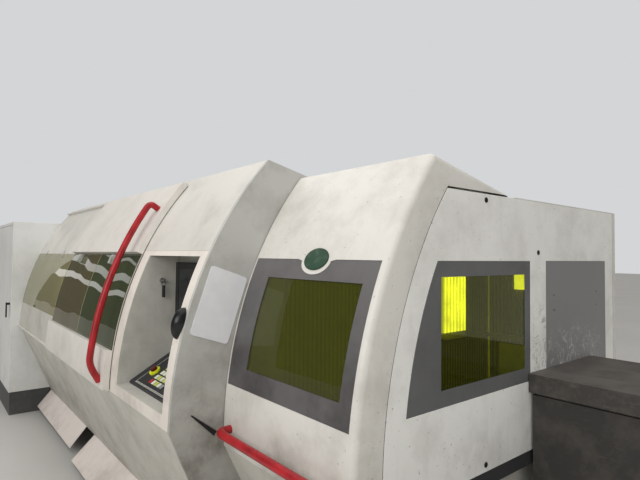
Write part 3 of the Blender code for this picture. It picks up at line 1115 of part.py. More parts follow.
x_passage = X_STEP - BULKHEAD / 2 - CHUCK_THICK / 2
chuck("front_chuck", x_passage, PASSAGE_RADIUS - 2 * SEAT_GAP, JAW_REACH / 2)
rail_top = BED_TOP + RAIL_HEIGHT + SEAT_GAP
x_carriage = x_bulkhead + BULKHEAD + CARRIAGE_INSET
y_carriage, y_carriage_back = TUBE_AXIS_Y - CARRIAGE_FRONT / 2, TUBE_AXIS_Y + CARRIAGE_FRONT / 2
carriage_foot = RAIL_SPREAD / 2 + RAIL_WIDTH
chamfer = CARRIAGE_FRONT / 4
carriage_outline = [(TUBE_AXIS_Y - carriage_foot, rail_top), (TUBE_AXIS_Y + carriage_foot, rail_top),
                    (y_carriage_back, TUBE_AXIS_Z + chamfer),
                    (TUBE_AXIS_Y + chamfer, TUBE_AXIS_Z + CARRIAGE_FRONT / 2),
                    (TUBE_AXIS_Y - chamfer, TUBE_AXIS_Z + CARRIAGE_FRONT / 2),
                    (y_carriage, TUBE_AXIS_Z + chamfer)]
extrude("chuck_carriage", carriage_outline, x_carriage, x_carriage + CARRIAGE_LENGTH, mat=CABINET_GREY,
        holes=(ellipse(TUBE_AXIS_Y, TUBE_AXIS_Z, CHUCK_BORE, CHUCK_BORE, 24),))
chuck("rear_chuck", x_carriage + CARRIAGE_LENGTH + SEAT_GAP, REAR_CHUCK_RADIUS, JAW_LENGTH / 2)


# Moving groups: an empty on each joint's axis carries the pieces that move about it
groups = {}


def group(name, place, pieces, parent=None):
    """An empty at a place on a joint's axis, with the pieces it carries kept where they are."""
    empty = bpy.data.objects.new(name, None)
    machine.objects.link(empty)
    groups[name] = (empty, Vector(place))
    empty.location = place
    if parent:
        empty.parent = groups[parent][0]
        empty.location -= groups[parent][1]
    for piece in pieces:
        child = bpy.data.objects[piece]
        child.parent = empty
        child.location -= Vector(place)


z_door = (DOOR_BOTTOM + DOOR_TOP) / 2
group("sliding_door", (x_mullion, *on_arc(angle_at(z_door))),
      ("door_frame", "door_pane_left", "door_pane_right", "pane_clamp_2", "pane_clamp_3", "door_handle"))
group("hood", (X_STEP + HINGE_INSET, y_hinge, z_hinge),
      ("hood_shell", "hood_bezel", "hood_window", "hood_badge", "hood_handle"))
group("lid", (x_bin, y_pin, z_pin), ("outfeed_lid",))
group("cabinet_leaf", (x_leaf + SEAT_GAP, y_cabinet, z_leaf), ("cabinet_door",))
group("cabinet_latch", (x_lever, y_cabinet, LEVER_HEIGHT), ("cabinet_lever",), "cabinet_leaf")
group("stop_button", stop_place, ("estop_button",))
group("key", (x_key, switch_place.y, switch_place.z), ("switch_key",))
group("bunch", bunch_pivot, ("key_bunch",), "key")
for i, (y, z) in enumerate(locks):
    group(f"lock_{i}", (X_END, y, z), (f"panel_lock_{i}",))
group("chuck_sled", (x_carriage, TUBE_AXIS_Y, TUBE_AXIS_Z), ("chuck_carriage",))
group("rear_chuck_spin", (x_carriage + CARRIAGE_LENGTH, TUBE_AXIS_Y, TUBE_AXIS_Z), ("rear_chuck",),
      "chuck_sled")
group("front_chuck_spin", (x_passage, TUBE_AXIS_Y, TUBE_AXIS_Z), ("front_chuck",))
group("saddle", (x_saddle, TUBE_AXIS_Y, GANTRY_TOP), ("head_carriage",))
group("head", (x_head, TUBE_AXIS_Y, z_slide), ("cutting_head",), "saddle")
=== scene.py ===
import math

import bmesh
import bpy
from mathutils import Matrix, Vector


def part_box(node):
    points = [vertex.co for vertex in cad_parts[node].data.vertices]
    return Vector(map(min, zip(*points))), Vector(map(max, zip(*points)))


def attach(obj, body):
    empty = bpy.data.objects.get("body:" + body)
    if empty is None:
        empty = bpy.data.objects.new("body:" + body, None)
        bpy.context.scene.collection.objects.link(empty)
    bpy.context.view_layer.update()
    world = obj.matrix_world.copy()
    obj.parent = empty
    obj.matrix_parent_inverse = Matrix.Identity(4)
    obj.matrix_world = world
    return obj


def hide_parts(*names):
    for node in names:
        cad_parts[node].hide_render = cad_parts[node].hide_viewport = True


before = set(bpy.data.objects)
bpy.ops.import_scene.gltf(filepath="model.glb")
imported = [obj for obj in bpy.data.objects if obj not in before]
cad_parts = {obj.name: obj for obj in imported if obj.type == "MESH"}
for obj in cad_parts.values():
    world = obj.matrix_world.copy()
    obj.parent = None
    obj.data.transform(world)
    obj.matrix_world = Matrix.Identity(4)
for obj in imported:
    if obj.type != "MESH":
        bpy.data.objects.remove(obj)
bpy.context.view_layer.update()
scene = bpy.context.scene
scene.view_settings.view_transform = "Standard"

# Camera: a hand-held phone at eye height, near the outfeed end and tilted slightly up. The machine
# is turned so that its end panel and its operator side both show.
EYE = Vector((3.57, -1.945, 1.64))
HEADING, PITCH, ROLL = math.radians(50.6), math.radians(1.88), math.radians(0.57)
ahead = Vector((-math.sin(HEADING) * math.cos(PITCH), math.cos(HEADING) * math.cos(PITCH), math.sin(PITCH)))
level = Vector((math.cos(HEADING), math.sin(HEADING), 0))
upright = level.cross(ahead)
right = level * math.cos(ROLL) + upright * math.sin(ROLL)
top = upright * math.cos(ROLL) - level * math.sin(ROLL)
camera = bpy.data.objects.new("camera", bpy.data.cameras.new("camera"))
scene.collection.objects.link(camera)
camera.matrix_world = Matrix.Translation(EYE) @ Matrix((right, top, -ahead)).transposed().to_4x4()
SENSOR, FOCAL_PX, WIDTH_PX = 36, 487.6, 640
camera.data.sensor_width = SENSOR
camera.data.lens = SENSOR * FOCAL_PX / WIDTH_PX
camera.data.clip_start = 0.05
scene.camera = camera


# Studio: a pale painted floor under a white room, with one wide soft box overhead, a weaker one
# in front and three narrow strips far to the left, as rows of ceiling lamps light a workshop.
def linear(colour):
    """An sRGB hex colour as linear red, green, blue and full alpha."""
    shares = [int(colour[i:i + 2], 16) / 255 for i in (1, 3, 5)]
    return (*[((c + 0.055) / 1.055) ** 2.4 if c > 0.04045 else c / 12.92 for c in shares], 1.0)


def fill(tree, node, values=None, links=None):
    """Socket values and incoming links of a node. A link from a node takes its first output."""
    for key, value in (values or {}).items():
        node.inputs[key].default_value = value
    for key, source in (links or {}).items():
        tree.links.new(getattr(source, "outputs", (source,))[0], node.inputs[key])
    return node


def add(tree, kind, values=None, links=None, **settings):
    """One node with its settings, socket values and incoming links."""
    made = tree.nodes.new("ShaderNode" + kind)
    for key, value in settings.items():
        setattr(made, key, value)
    return fill(tree, made, values, links)


def blank(name):
    """A new material with its Principled shader and the object's own coordinates."""
    made = bpy.data.materials.new(name)
    made.use_nodes = True
    tree = made.node_tree
    return made, tree, tree.nodes["Principled BSDF"], add(tree, "TexCoord").outputs["Object"]


def placed(name, work):
    """The object of a finished bmesh, linked to the scene."""
    mesh = bpy.data.meshes.new(name)
    work.to_mesh(mesh)
    work.free()
    made = bpy.data.objects.new(name, mesh)
    scene.collection.objects.link(made)
    return made


sheet = bmesh.new()
bmesh.ops.create_grid(sheet, x_segments=1, y_segments=1, size=60)
studio_floor = placed("studio_floor", sheet)
floor_paint, tree, shader, place = blank("floor_paint")
cloud = add(tree, "TexNoise", {"Scale": 0.6, "Detail": 4.0}, {"Vector": place})
tone = add(tree, "ValToRGB", links={"Fac": cloud})
tone.color_ramp.elements[0].color = linear("#BDBCB9")
tone.color_ramp.elements[1].color = linear("#CBCAC7")
fill(tree, shader, {"Roughness": 0.7, "Specular IOR Level": 0.25}, {"Base Color": tone})
studio_floor.data.materials.append(floor_paint)

world = bpy.data.worlds.new("studio")
scene.world = world
world.use_nodes = True
sky = world.node_tree
soft = sky.nodes["Background"]
seen = add(sky, "Background", {"Color": linear("#D3D5D7"), "Strength": 1.0})
rays = add(sky, "LightPath")
gloss = add(sky, "MapRange", {"To Min": 0.74, "To Max": 0.13}, {"Value": rays.outputs["Is Glossy Ray"]})
fill(sky, soft, {"Color": linear("#F5F3F0")}, {"Strength": gloss})
direct = add(sky, "Math", links={0: rays.outputs["Is Camera Ray"], 1: rays.outputs["Is Transmission Ray"]},
             operation="MAXIMUM")
mixed = add(sky, "MixShader", links={0: direct, 1: soft, 2: seen})
fill(sky, sky.nodes["World Output"], links={"Surface": mixed})
for label, spot, aim, size, power in (("soft_box_top", (0.6, -0.6, 5.2), (0.6, -0.2, 1), (9, 5), 145),
                                      ("soft_box_front", (3.5, -6.0, 3.4), (0.8, 0, 1.2), (4, 2.5), 130),
                                      ("strip_low", (-9, -3.6, 2.35), (-0.5, -1.1, 1.4), (5, 0.22), 4.2),
                                      ("strip_high", (-9, -3.6, 3.0), (-0.5, -1.1, 1.4), (5, 0.30), 5.0),
                                      ("strip_top", (-9, -3.6, 3.7), (-0.5, -1.1, 1.4), (5, 0.12), 1.6)):
    lamp = bpy.data.lights.new(label, "AREA")
    lamp.shape = "RECTANGLE"
    lamp.size, lamp.size_y = size
    lamp.energy = power
    lamp.color = (1, 0.985, 0.96)
    lamp_object = bpy.data.objects.new(label, lamp)
    lamp_object.location = spot
    lamp_object.rotation_euler = (Vector(aim) - Vector(spot)).to_track_quat("-Z", "Y").to_euler()
    lamp_object.visible_camera = False
    scene.collection.objects.link(lamp_object)

# Hull sheets of the loader: folded and rolled steel sheet in an off-white powder coat. They run from the
# skirt up a wide arc to the ridge and then down over the deck and the back.
DEPTH = 2.494
RADIUS, ARC_HEIGHT = 1.832, 0.875
ARC_Y, CELL_ARC_Y = 0.703, 0.953
RIDGE, DECK, FOOT, BELLY = 2.10, 1.91, 0.20, 0.90
SHEET = 0.004
X_HULL, X_DOOR, X_CONSOLE, X_STEP, X_END, X_RIGHT = -2.25, -0.72, 0.80, 1.61, 2.444, 3.35
SEAT = 0.0003
CLEAR = 0.05
ARC_STEPS = 40
DECK_Y, SKIRT_FALL, LAP = 0.156, 0.304, 0.06
PANE_LOW, PANE_HIGH, CONSOLE_TOP = 1.14, 1.637, 1.66
X_SHELL = X_STEP - 0.0203


def on_arc(height, rise=0.0, centre=ARC_Y):
    """(Y, Z) at this height of the hull's outer face, raised from it."""
    angle = math.asin((height - ARC_HEIGHT) / RADIUS)
    return (centre - (RADIUS + rise) * math.cos(angle), ARC_HEIGHT + (RADIUS + rise) * math.sin(angle))


def up_arc(low, high, rise=0.0, centre=ARC_Y):
    return [on_arc(low + (high - low) * i / ARC_STEPS, rise, centre) for i in range(ARC_STEPS + 1)]


def slab(low, high, inner, outer, centre=ARC_Y):
    """Outline of a rolled sheet between two heights and two rises."""
    return up_arc(low, high, outer, centre) + up_arc(low, high, inner, centre)[::-1]


def inward(path, distance):
    """The path moved to its right, with mitred corners."""
    moved = []
    for i, here in enumerate(path):
        before = Vector(here) - Vector(path[i - 1]) if i else Vector(path[1]) - Vector(here)
        after = Vector(path[i + 1]) - Vector(here) if i + 1 < len(path) else before
        sides = [Vector((run.y, -run.x)).normalized() for run in (before, after)]
        moved.append(tuple(Vector(here) + (sides[0] + sides[1]) / (1 + sides[0].dot(sides[1])) * distance))
    return moved


def folded(path):
    return list(path) + inward(path, SHEET)[::-1]


def prism(name, outline, low, high, across="X"):
    """An outline pressed along an axis: (Y, Z) along X, (X, Z) along Y or (X, Y) along Z."""
    order = {"X": lambda u, v, w: (w, u, v), "Y": lambda u, v, w: (u, w, v),
             "Z": lambda u, v, w: (u, v, w)}[across]
    work = bmesh.new()
    face = work.faces.new([work.verts.new(order(u, v, low)) for u, v in outline])
    grown = bmesh.ops.extrude_face_region(work, geom=[face])
    push = Vector(order(0, 0, high - low))
    bmesh.ops.translate(work, verts=[v for v in grown["geom"] if isinstance(v, bmesh.types.BMVert)], vec=push)
    bmesh.ops.recalc_face_normals(work, faces=work.faces)
    return placed(name, work)


def box(name, low, high):
    return prism(name, [(low[0], low[1]), (high[0], low[1]), (high[0], high[1]), (low[0], high[1])],
                 low[2], high[2], "Z")


def cut(piece, *tools, how="DIFFERENCE"):
    """Cut tools out of a piece, or join them to it, and drop them."""
    for tool in tools:
        step = piece.modifiers.new("cut", "BOOLEAN")
        step.operation = how
        step.solver = "EXACT"
        step.object = tool
    settle(piece)
    for tool in tools:
        bpy.data.objects.remove(tool, do_unlink=True)


def settle(piece):
    """Write the modifiers into the mesh."""
    bpy.context.view_layer.update()
    mesh = bpy.data.meshes.new_from_object(piece.evaluated_get(bpy.context.evaluated_depsgraph_get()))
    piece.modifiers.clear()
    piece.data = mesh


def ease(piece, edge=0.0015, angle=32, steps=2):
    """Round the sharp edges as a press brake or a mould leaves them, and shade the rest smooth."""
    work = bmesh.new()
    work.from_mesh(piece.data)
    bmesh.ops.remove_doubles(work, verts=work.verts, dist=0.00002)
    bmesh.ops.dissolve_limit(work, angle_limit=math.radians(0.2), verts=work.verts, edges=work.edges)
    for face in work.faces:
        face.smooth = True
    work.to_mesh(piece.data)
    work.free()
    if edge:
        round_off = piece.modifiers.new("edge", "BEVEL")
        round_off.width = edge
        round_off.segments = steps
        round_off.limit_method = "ANGLE"
        round_off.angle_limit = math.radians(angle)
        round_off.harden_normals = True
        settle(piece)
    else:
        piece.data.set_sharp_from_angle(angle=math.radians(angle))


def finish_piece(piece, finish, body, nodes=()):
    """Give a piece its finish, the body that it rides on and the CAD nodes it stands for."""
    piece.data.materials.clear()
    piece.data.materials.append(finish)
    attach(piece, body)
    if nodes:
        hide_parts(*nodes)


def powder_coat(name, clean, soiled, roughness=0.38, soil=0.35, foot=None, streak=0.12, specks=0.15):
    """Baked powder coat on steel: a low sheen with a fine orange peel, hand marks, runs and specks."""
    made, tree, shader, place = blank(name)
    patches = add(tree, "TexNoise", {"Scale": 3.6, "Detail": 9.0, "Roughness": 0.68}, {"Vector": place})
    drawn = add(tree, "Mapping", {"Scale": (14, 14, 2.2)}, {"Vector": place})
    runs = add(tree, "TexNoise", {"Scale": 1.0, "Detail": 4.0, "Distortion": 0.4}, {"Vector": drawn})
    haze = add(tree, "MapRange", {"From Min": 0.45, "From Max": 0.78, "To Max": soil}, {"Value": patches})
    lines = add(tree, "MapRange", {"From Min": 0.56, "From Max": 0.82, "To Max": streak}, {"Value": runs})
    both = add(tree, "Math", links={0: haze, 1: lines}, operation="ADD")
    grains = add(tree, "TexNoise", {"Scale": 75.0, "Detail": 2.0}, {"Vector": place})
    sparse = add(tree, "MapRange", {"From Min": 0.70, "From Max": 0.76, "To Max": specks}, {"Value": grains})
    total = add(tree, "Math", links={0: both, 1: sparse}, operation="ADD")
    # Darker towards the bottom of the piece, between the foot's two heights; on the hood's bezel this is painted
    # shade.
    if foot:
        height = add(tree, "SeparateXYZ", links={"Vector": place})
        low = add(tree, "MapRange", {"From Min": foot[1], "From Max": foot[0], "To Max": foot[2]},
                  {"Value": height.outputs["Z"]})
        low_soil_and_shade = add(tree, "Math", links={0: low, 1: patches}, operation="MULTIPLY")
        total = add(tree, "Math", links={0: total, 1: low_soil_and_shade}, operation="ADD")
    capped = add(tree, "Math", {1: 0.95}, {0: total}, operation="MINIMUM")
    tint = add(tree, "Mix", {6: linear(clean), 7: linear(soiled)}, {0: capped}, data_type="RGBA")
    dull = add(tree, "MapRange", {"To Min": roughness - 0.06, "To Max": roughness + 0.14}, {"Value": patches})
    peel = add(tree, "TexNoise", {"Scale": 420.0, "Detail": 2.0}, {"Vector": place})
    bump = add(tree, "Bump", {"Strength": 0.08, "Distance": 0.0004}, {"Height": peel})
    fill(tree, shader, links={"Base Color": tint.outputs[2], "Roughness": dull, "Normal": bump})
    return made


hull_white = powder_coat("hull_powder_coat", "#D3D1CB", "#86817A", foot=(0.2, 1.0, 0.5))
# The skirt coat is the hull's off-white painted greyer, as painted shade on sheets that face the floor.
shaded_hull_coat = powder_coat("skirt_coat_painted_shade", "#C2C0B8", "#7B776D", roughness=0.5, soil=0.5, foot=(0.2, 0.9, 0.6))


def hull_openings():
    """Tools for the doorway behind the door and for the side of the operator recess."""
    return (prism("doorway", slab(0.98, 1.90, -CLEAR, CLEAR), X_DOOR + LAP, X_CONSOLE - LAP),
            prism("recess_side", slab(BELLY, CONSOLE_TOP, -CLEAR, CLEAR), X_CONSOLE - SEAT, X_STEP + CLEAR))


roof_path = up_arc(PANE_HIGH, RIDGE) + [(DECK_Y, DECK), (DEPTH / 2, DECK), (DEPTH / 2, FOOT)]
roof = prism("loader_roof_sheet", folded(roof_path), X_HULL + SEAT, X_SHELL)
cut(roof, *hull_openings())
ease(roof, 0.002)
finish_piece(roof, hull_white, "machine", ["loader_roof"])

y_skirt = on_arc(BELLY)[0] + SKIRT_FALL
# The apron, belt and skirt in one sheet, takes the greyer coat: painted shade for the downward skirt, laid over the
# belt too.
apron = prism("loader_apron_sheet", folded([(y_skirt, FOOT)] + up_arc(BELLY, PANE_LOW)), X_HULL + SEAT, X_SHELL)
cut(apron, *hull_openings())
ease(apron, 0.002)
finish_piece(apron, shaded_hull_coat, "machine", ["loader_apron"])

# Fixed glazing: one rolled sheet of olive-tinted acrylic between the apron and the roof, held at its top
# edge by two white moulded clips.
def tinted_acrylic(name, tint, through, ripple):
    """Cast acrylic: colour through its thickness, a mirror-like face with a slight roll, fine dust."""
    made, tree, shader, place = blank(name)
    dust = add(tree, "TexNoise", {"Scale": 14.0, "Detail": 8.0, "Roughness": 0.7}, {"Vector": place})
    film = add(tree, "MapRange", {"From Min": 0.5, "From Max": 0.8, "To Max": 0.05}, {"Value": dust})
    shade = add(tree, "MapRange", {"To Min": 0.8, "To Max": 1.15}, {"Value": dust})
    tone = add(tree, "HueSaturation", {"Color": linear(tint)}, {"Value": shade})
    wave = add(tree, "TexNoise", {"Scale": 2.6, "Detail": 0.0}, {"Vector": place})
    bump = add(tree, "Bump", {"Strength": ripple, "Distance": 0.02}, {"Height": wave})
    fill(tree, shader, {"Transmission Weight": through, "IOR": 1.49, "Specular IOR Level": 0.3},
         {"Base Color": tone, "Roughness": film, "Normal": bump})
    return made


def moulded(name, colour, roughness=0.4, grain_mm=0.8, depth=0.0001, worn="#000000", wear=0.1):
    """Injection-moulded plastic: even colour, fine spark-eroded grain, slightly rubbed."""
    made, tree, shader, place = blank(name)
    rub = add(tree, "TexNoise", {"Scale": 26.0, "Detail": 5.0}, {"Vector": place})
    much = add(tree, "MapRange", {"From Min": 0.5, "From Max": 0.75, "To Max": wear}, {"Value": rub})
    tint = add(tree, "Mix", {6: linear(colour), 7: linear(worn)}, {0: much}, data_type="RGBA")
    gloss = add(tree, "MapRange", {"To Min": roughness - 0.05, "To Max": roughness + 0.1}, {"Value": rub})
    grain = add(tree, "TexNoise", {"Scale": 1000 / grain_mm, "Detail": 2.0}, {"Vector": place})
    bump = add(tree, "Bump", {"Strength": 0.25, "Distance": depth}, {"Height": grain})
    fill(tree, shader, links={"Base Color": tint.outputs[2], "Roughness": gloss, "Normal": bump})
    return made


olive_acrylic = tinted_acrylic("olive_tinted_acrylic", "#A39E6E", 0.5, 0.45)
pane = prism("fixed_pane_sheet", slab(PANE_LOW + SEAT, PANE_HIGH - SEAT, -0.004, 0), X_HULL + SEAT,
             X_DOOR + LAP - SEAT)
ease(pane, 0.0008)
finish_piece(pane, olive_acrylic, "machine", ["fixed_pane"])
clip_white = moulded("clip_moulding", "#AEB1AB", 0.35, worn="#6A6860", wear=0.6)


def glazing_clip(name, low, high, inner, outer, x_middle, body, node):
    """A rounded clip over the pane's edge."""
    clip = prism(name, slab(low, high, inner, outer), x_middle - 0.016, x_middle + 0.016)
    ring = [math.tau * (i + 0.5) / 40 for i in range(40)]
    half, middle = (high - low) / 2 - 0.0002, (low + high) / 2
    cut(clip, prism("form", [(x_middle + 0.0158 * math.copysign(abs(math.cos(a)) ** 0.8, math.cos(a)),
                              middle + half * math.copysign(abs(math.sin(a)) ** 0.8, math.sin(a))) for a in ring],
                    -DEPTH, 0.2, "Y"), how="INTERSECT")
    ease(clip, 0.0011, steps=3)
    finish_piece(clip, clip_white, body, [node])


for i, x_clip in enumerate((X_HULL + 0.36, X_HULL + 1.08)):
    glazing_clip(f"fixed_clip_{i}", 1.602, 1.672, SEAT, 0.003, x_clip, "machine", f"pane_clamp_{i}")

# Sliding door: a pressed frame that stands proud of the hull, with a white cover above its two panes and
# a white belt below them. It runs on a bar along each long edge.
PROUD, DOOR_LOW, DOOR_HIGH, SILL, HEAD, X_SPLIT = 0.040, 0.908, 2.05, 1.115, 1.637, 0.04
door = prism("door_pressing", slab(DOOR_LOW, DOOR_HIGH, 0.004, PROUD), X_DOOR, X_CONSOLE)
cut(door, prism("pocket", slab(SILL, HEAD, 0.008, PROUD + CLEAR), X_DOOR - CLEAR, X_CONSOLE + CLEAR),
    prism("daylight", slab(SILL + 0.025, HEAD - 0.025, -CLEAR, CLEAR), X_DOOR + 0.025, X_CONSOLE - 0.025),
    prism("cover_back", slab(HEAD + SHEET, DOOR_HIGH - SHEET, -CLEAR, PROUD - SHEET), X_DOOR + SHEET,
          X_CONSOLE - SHEET),
    prism("belt_back", slab(DOOR_LOW + SHEET, SILL - SHEET, -CLEAR, PROUD - SHEET), X_DOOR + SHEET,
          X_CONSOLE - SHEET))
ease(door, 0.003, steps=3)
door_white = powder_coat("door_powder_coat", "#DCD8D2", "#948E84", soil=0.3, streak=0.15, foot=(0.9, 1.1, 0.35))
finish_piece(door, door_white, "sliding_door", ["door_frame"])
for side, low, high, tint in (("left", X_DOOR, X_SPLIT - SEAT / 2, "#686038"),
                              ("right", X_SPLIT + SEAT / 2, X_CONSOLE, "#465228")):
    leaf = prism(f"door_pane_{side}_sheet", slab(SILL + SEAT, HEAD - SEAT, 0.0083, 0.0123), low, high)
    ease(leaf, 0.0009)
    finish_piece(leaf, tinted_acrylic(f"{side}_pane_acrylic", tint, 0.5, 0.45), "sliding_door",
                 [f"door_pane_{side}"])
edge_pale = moulded("sawn_acrylic_edge", "#A5A67C", 0.5, worn="#6B6B48", wear=0.4)
for side, x_edge in (("left", X_DOOR), ("middle", X_SPLIT + SEAT)):
    edge = prism(f"pane_edge_{side}", slab(SILL + SEAT, HEAD - SEAT, 0.0125, 0.0129), x_edge, x_edge + 0.006)
    finish_piece(edge, edge_pale, "sliding_door")
for i, x_clip in enumerate((X_DOOR + 0.30, X_DOOR + 1.10)):
    glazing_clip(f"door_clip_{i}", 1.567, 1.6367, 0.0126, PROUD + 0.003, x_clip, "sliding_door",
                 f"pane_clamp_{i + 2}")


def bare_metal(name, colour, roughness=0.32, brushed=(3, 260, 260)):
    """Ground steel: fine parallel scratches with patchy oil and dust."""
    made, tree, shader, place = blank(name)
    drawn = add(tree, "Mapping", {"Scale": brushed}, {"Vector": place})
    lines = add(tree, "TexNoise", {"Scale": 1.0, "Detail": 3.0}, {"Vector": drawn})
    oil = add(tree, "TexNoise", {"Scale": 9.0, "Detail": 5.0}, {"Vector": place})
    gloss = add(tree, "MapRange", {"To Min": roughness - 0.08, "To Max": roughness + 0.2}, {"Value": oil})
    shade = add(tree, "MapRange", {"To Min": 0.75, "To Max": 1.15}, {"Value": lines})
    tone = add(tree, "HueSaturation", {"Color": linear(colour)}, {"Value": shade})
    bump = add(tree, "Bump", {"Strength": 0.2, "Distance": 0.00015}, {"Height": lines})
    fill(tree, shader, {"Metallic": 1.0}, {"Base Color": tone, "Roughness": gloss, "Normal": bump})
    return made


ground_steel = bare_metal("ground_steel", "#B9BABB")
for name, low, high in (("door_rail_lower", 0.901, 0.9077), ("door_rail_upper", 2.0503, 2.057)):
    bar = prism(name + "_bar", slab(low, high, SEAT, 0.022), X_HULL + SEAT, X_CONSOLE - SEAT)
    ease(bar, 0.001)
    finish_piece(bar, hull_white, "machine", [name])


# Door handle: steel tube bent to the hull's arc, coated red, with a rubbed grip. Its two feet stand on the belt and
# on the cover.
def grip_red(name, along):
    """Red enamel on tube: glossy, with a slightly paler worn band and dark nicks."""
    made, tree, shader, place = blank(name)
    drawn = add(tree, "Mapping", {"Scale": along}, {"Vector": place})
    wear = add(tree, "TexNoise", {"Scale": 1.0, "Detail": 6.0}, {"Vector": drawn})
    tone = add(tree, "ValToRGB", links={"Fac": wear})
    tone.color_ramp.elements[0].position, tone.color_ramp.elements[1].position = 0.3, 0.72
    tone.color_ramp.elements[0].color = linear("#8A0D17")
    tone.color_ramp.elements[1].color = linear("#B41722")
    nick = tone.color_ramp.elements.new(0.26)
    nick.color = linear("#4A1215")
    gloss = add(tree, "MapRange", {"To Min": 0.24, "To Max": 0.5}, {"Value": wear})
    peel = add(tree, "TexNoise", {"Scale": 300.0}, {"Vector": place})
    bump = add(tree, "Bump", {"Strength": 0.1, "Distance": 0.0003}, {"Height": peel})
    fill(tree, shader, links={"Base Color": tone, "Roughness": gloss, "Normal": bump})
    return made


def round_bar(name, path, radius):
    """A round bar along a path, with closed ends, as a mesh."""
    curve = bpy.data.curves.new(name, "CURVE")
    curve.dimensions = "3D"
    curve.bevel_depth = radius
    curve.bevel_resolution = 5
    curve.use_fill_caps = True
    run = curve.splines.new("POLY")
    run.points.add(len(path) - 1)
    for point, spot in zip(run.points, path):
        point.co = (*spot, 1)
    source = bpy.data.objects.new(name, curve)
    scene.collection.objects.link(source)
    bpy.context.view_layer.update()
    mesh = bpy.data.meshes.new_from_object(source.evaluated_get(bpy.context.evaluated_depsgraph_get()))
    bpy.data.objects.remove(source, do_unlink=True)
    made = bpy.data.objects.new(name, mesh)
    scene.collection.objects.link(made)
    for face in mesh.polygons:
        face.use_smooth = True
    mesh.set_sharp_from_angle(angle=math.radians(50))
    return made


TUBE_R, REACH, BEND, LEAN = 0.018, 0.060, 0.035, 0.050


def arc_angle(height):
    return math.asin((height - ARC_HEIGHT) / RADIUS)


def polar(angle, rise, centre=ARC_Y):
    return (centre - (RADIUS + rise) * math.cos(angle), ARC_HEIGHT + (RADIUS + rise) * math.sin(angle))


low_end, high_end = arc_angle(0.945), arc_angle(1.885)
turn = BEND / RADIUS
x_grip = X_CONSOLE - 0.06
route = []
for start, way, lean in ((low_end, 1, LEAN), (high_end, -1, 0.0)):
    foot, bend = (start, PROUD + SEAT), (start + way * lean, PROUD + REACH)
    into = [b + (f - b) * 0.45 for f, b in zip(foot, bend)]
    away = (bend[0] + way * turn, bend[1])
    route.append([foot] + [tuple(a * (1 - s) ** 2 + 2 * b * s * (1 - s) + c * s ** 2
                                 for a, b, c in zip(into, bend, away)) for s in [i / 8 for i in range(9)]])
span = (low_end + LEAN + turn, high_end - turn)
run = [(span[0] + (span[1] - span[0]) * i / 36, PROUD + REACH) for i in range(1, 36)]
tube_path = [(x_grip, *polar(a, r)) for a, r in route[0] + run + route[1][::-1]]
door_grip = round_bar("door_handle_tube", tube_path, TUBE_R)
finish_piece(door_grip, grip_red("handle_enamel", (30, 30, 14)), "sliding_door", ["door_handle"])

# Operator recess: a rolled surround in the hull's white, and behind its opening a folded grey box, open
# to the front, that holds the desk and the screen.
OPEN_LOW, OPEN_HIGH, OPEN_BOTTOM, OPEN_TOP, BACK = 0.905, 1.525, 0.955, 1.633, -0.79
surround = prism("console_surround", slab(BELLY, CONSOLE_TOP - SEAT, -SHEET, 0), X_CONSOLE, X_SHELL)
cut(surround, box("opening", (OPEN_LOW, -DEPTH, OPEN_BOTTOM), (OPEN_HIGH, BACK, OPEN_TOP)))
ease(surround, 0.0015)
surround_white = powder_coat("surround_powder_coat", "#E4DDD5", "#8D867B", soil=0.4, foot=(0.9, 1.3, 0.5))
finish_piece(surround, surround_white, "machine", ["console_frame"])
rim = up_arc(OPEN_BOTTOM - SHEET, OPEN_TOP + SHEET, -SHEET - SEAT)
recess = prism("console_recess", rim + [(BACK + SHEET, rim[-1][1]), (BACK + SHEET, rim[0][1])],
               OPEN_LOW - SHEET, OPEN_HIGH + SHEET)
cut(recess, box("room", (OPEN_LOW, -DEPTH, OPEN_BOTTOM), (OPEN_HIGH, BACK, OPEN_TOP)))
ease(recess, 0.001)
finish_piece(recess, powder_coat("recess_powder_coat", "#C3C2BA", "#7C7970", 0.5, soil=0.5), "machine",
             ["console_box"])

# Desk: a sloped black moulded panel, set into the floor of the recess. Its border is engraved and filled
# with pale paint.
DESK_Y, DESK_Z, DESK_RISE = -1.060, OPEN_BOTTOM + SEAT + 0.012, 0.155
desk_back = BACK - SEAT
slope = Vector((0, desk_back - DESK_Y, DESK_RISE)).normalized()
normal = Vector((0, -slope.z, slope.y))
corner = Vector((OPEN_LOW, DESK_Y, DESK_Z))
desk = prism("desk_panel", [(DESK_Y, OPEN_BOTTOM + SEAT), (desk_back, OPEN_BOTTOM + SEAT),
                            (desk_back, DESK_Z + DESK_RISE), (DESK_Y, DESK_Z)], OPEN_LOW + SEAT, OPEN_HIGH - SEAT)
ease(desk, 0.002)
desk_black = moulded("desk_moulding", "#24242A", 0.38, 1.2, 0.0002, worn="#55555A", wear=0.35)
finish_piece(desk, desk_black, "machine", ["console_desk"])


def lay_on_desk(piece):
    """Move a piece made flat at the origin onto the desk, in its width, slope and height."""
    turned = Matrix.Rotation(math.atan2(slope.z, slope.y), 4, "X")
    piece.data.transform(Matrix.Translation(corner + normal * SEAT) @ turned)


def pad(name, u, v, wide, tall, low, high, edge=0.001):
    """A small flat block in the desk's own width, slope and height."""
    made = prism(name, [(u, v), (u + wide, v), (u + wide, v + tall), (u, v + tall)], low, high, "Z")
    ease(made, edge)
    return made


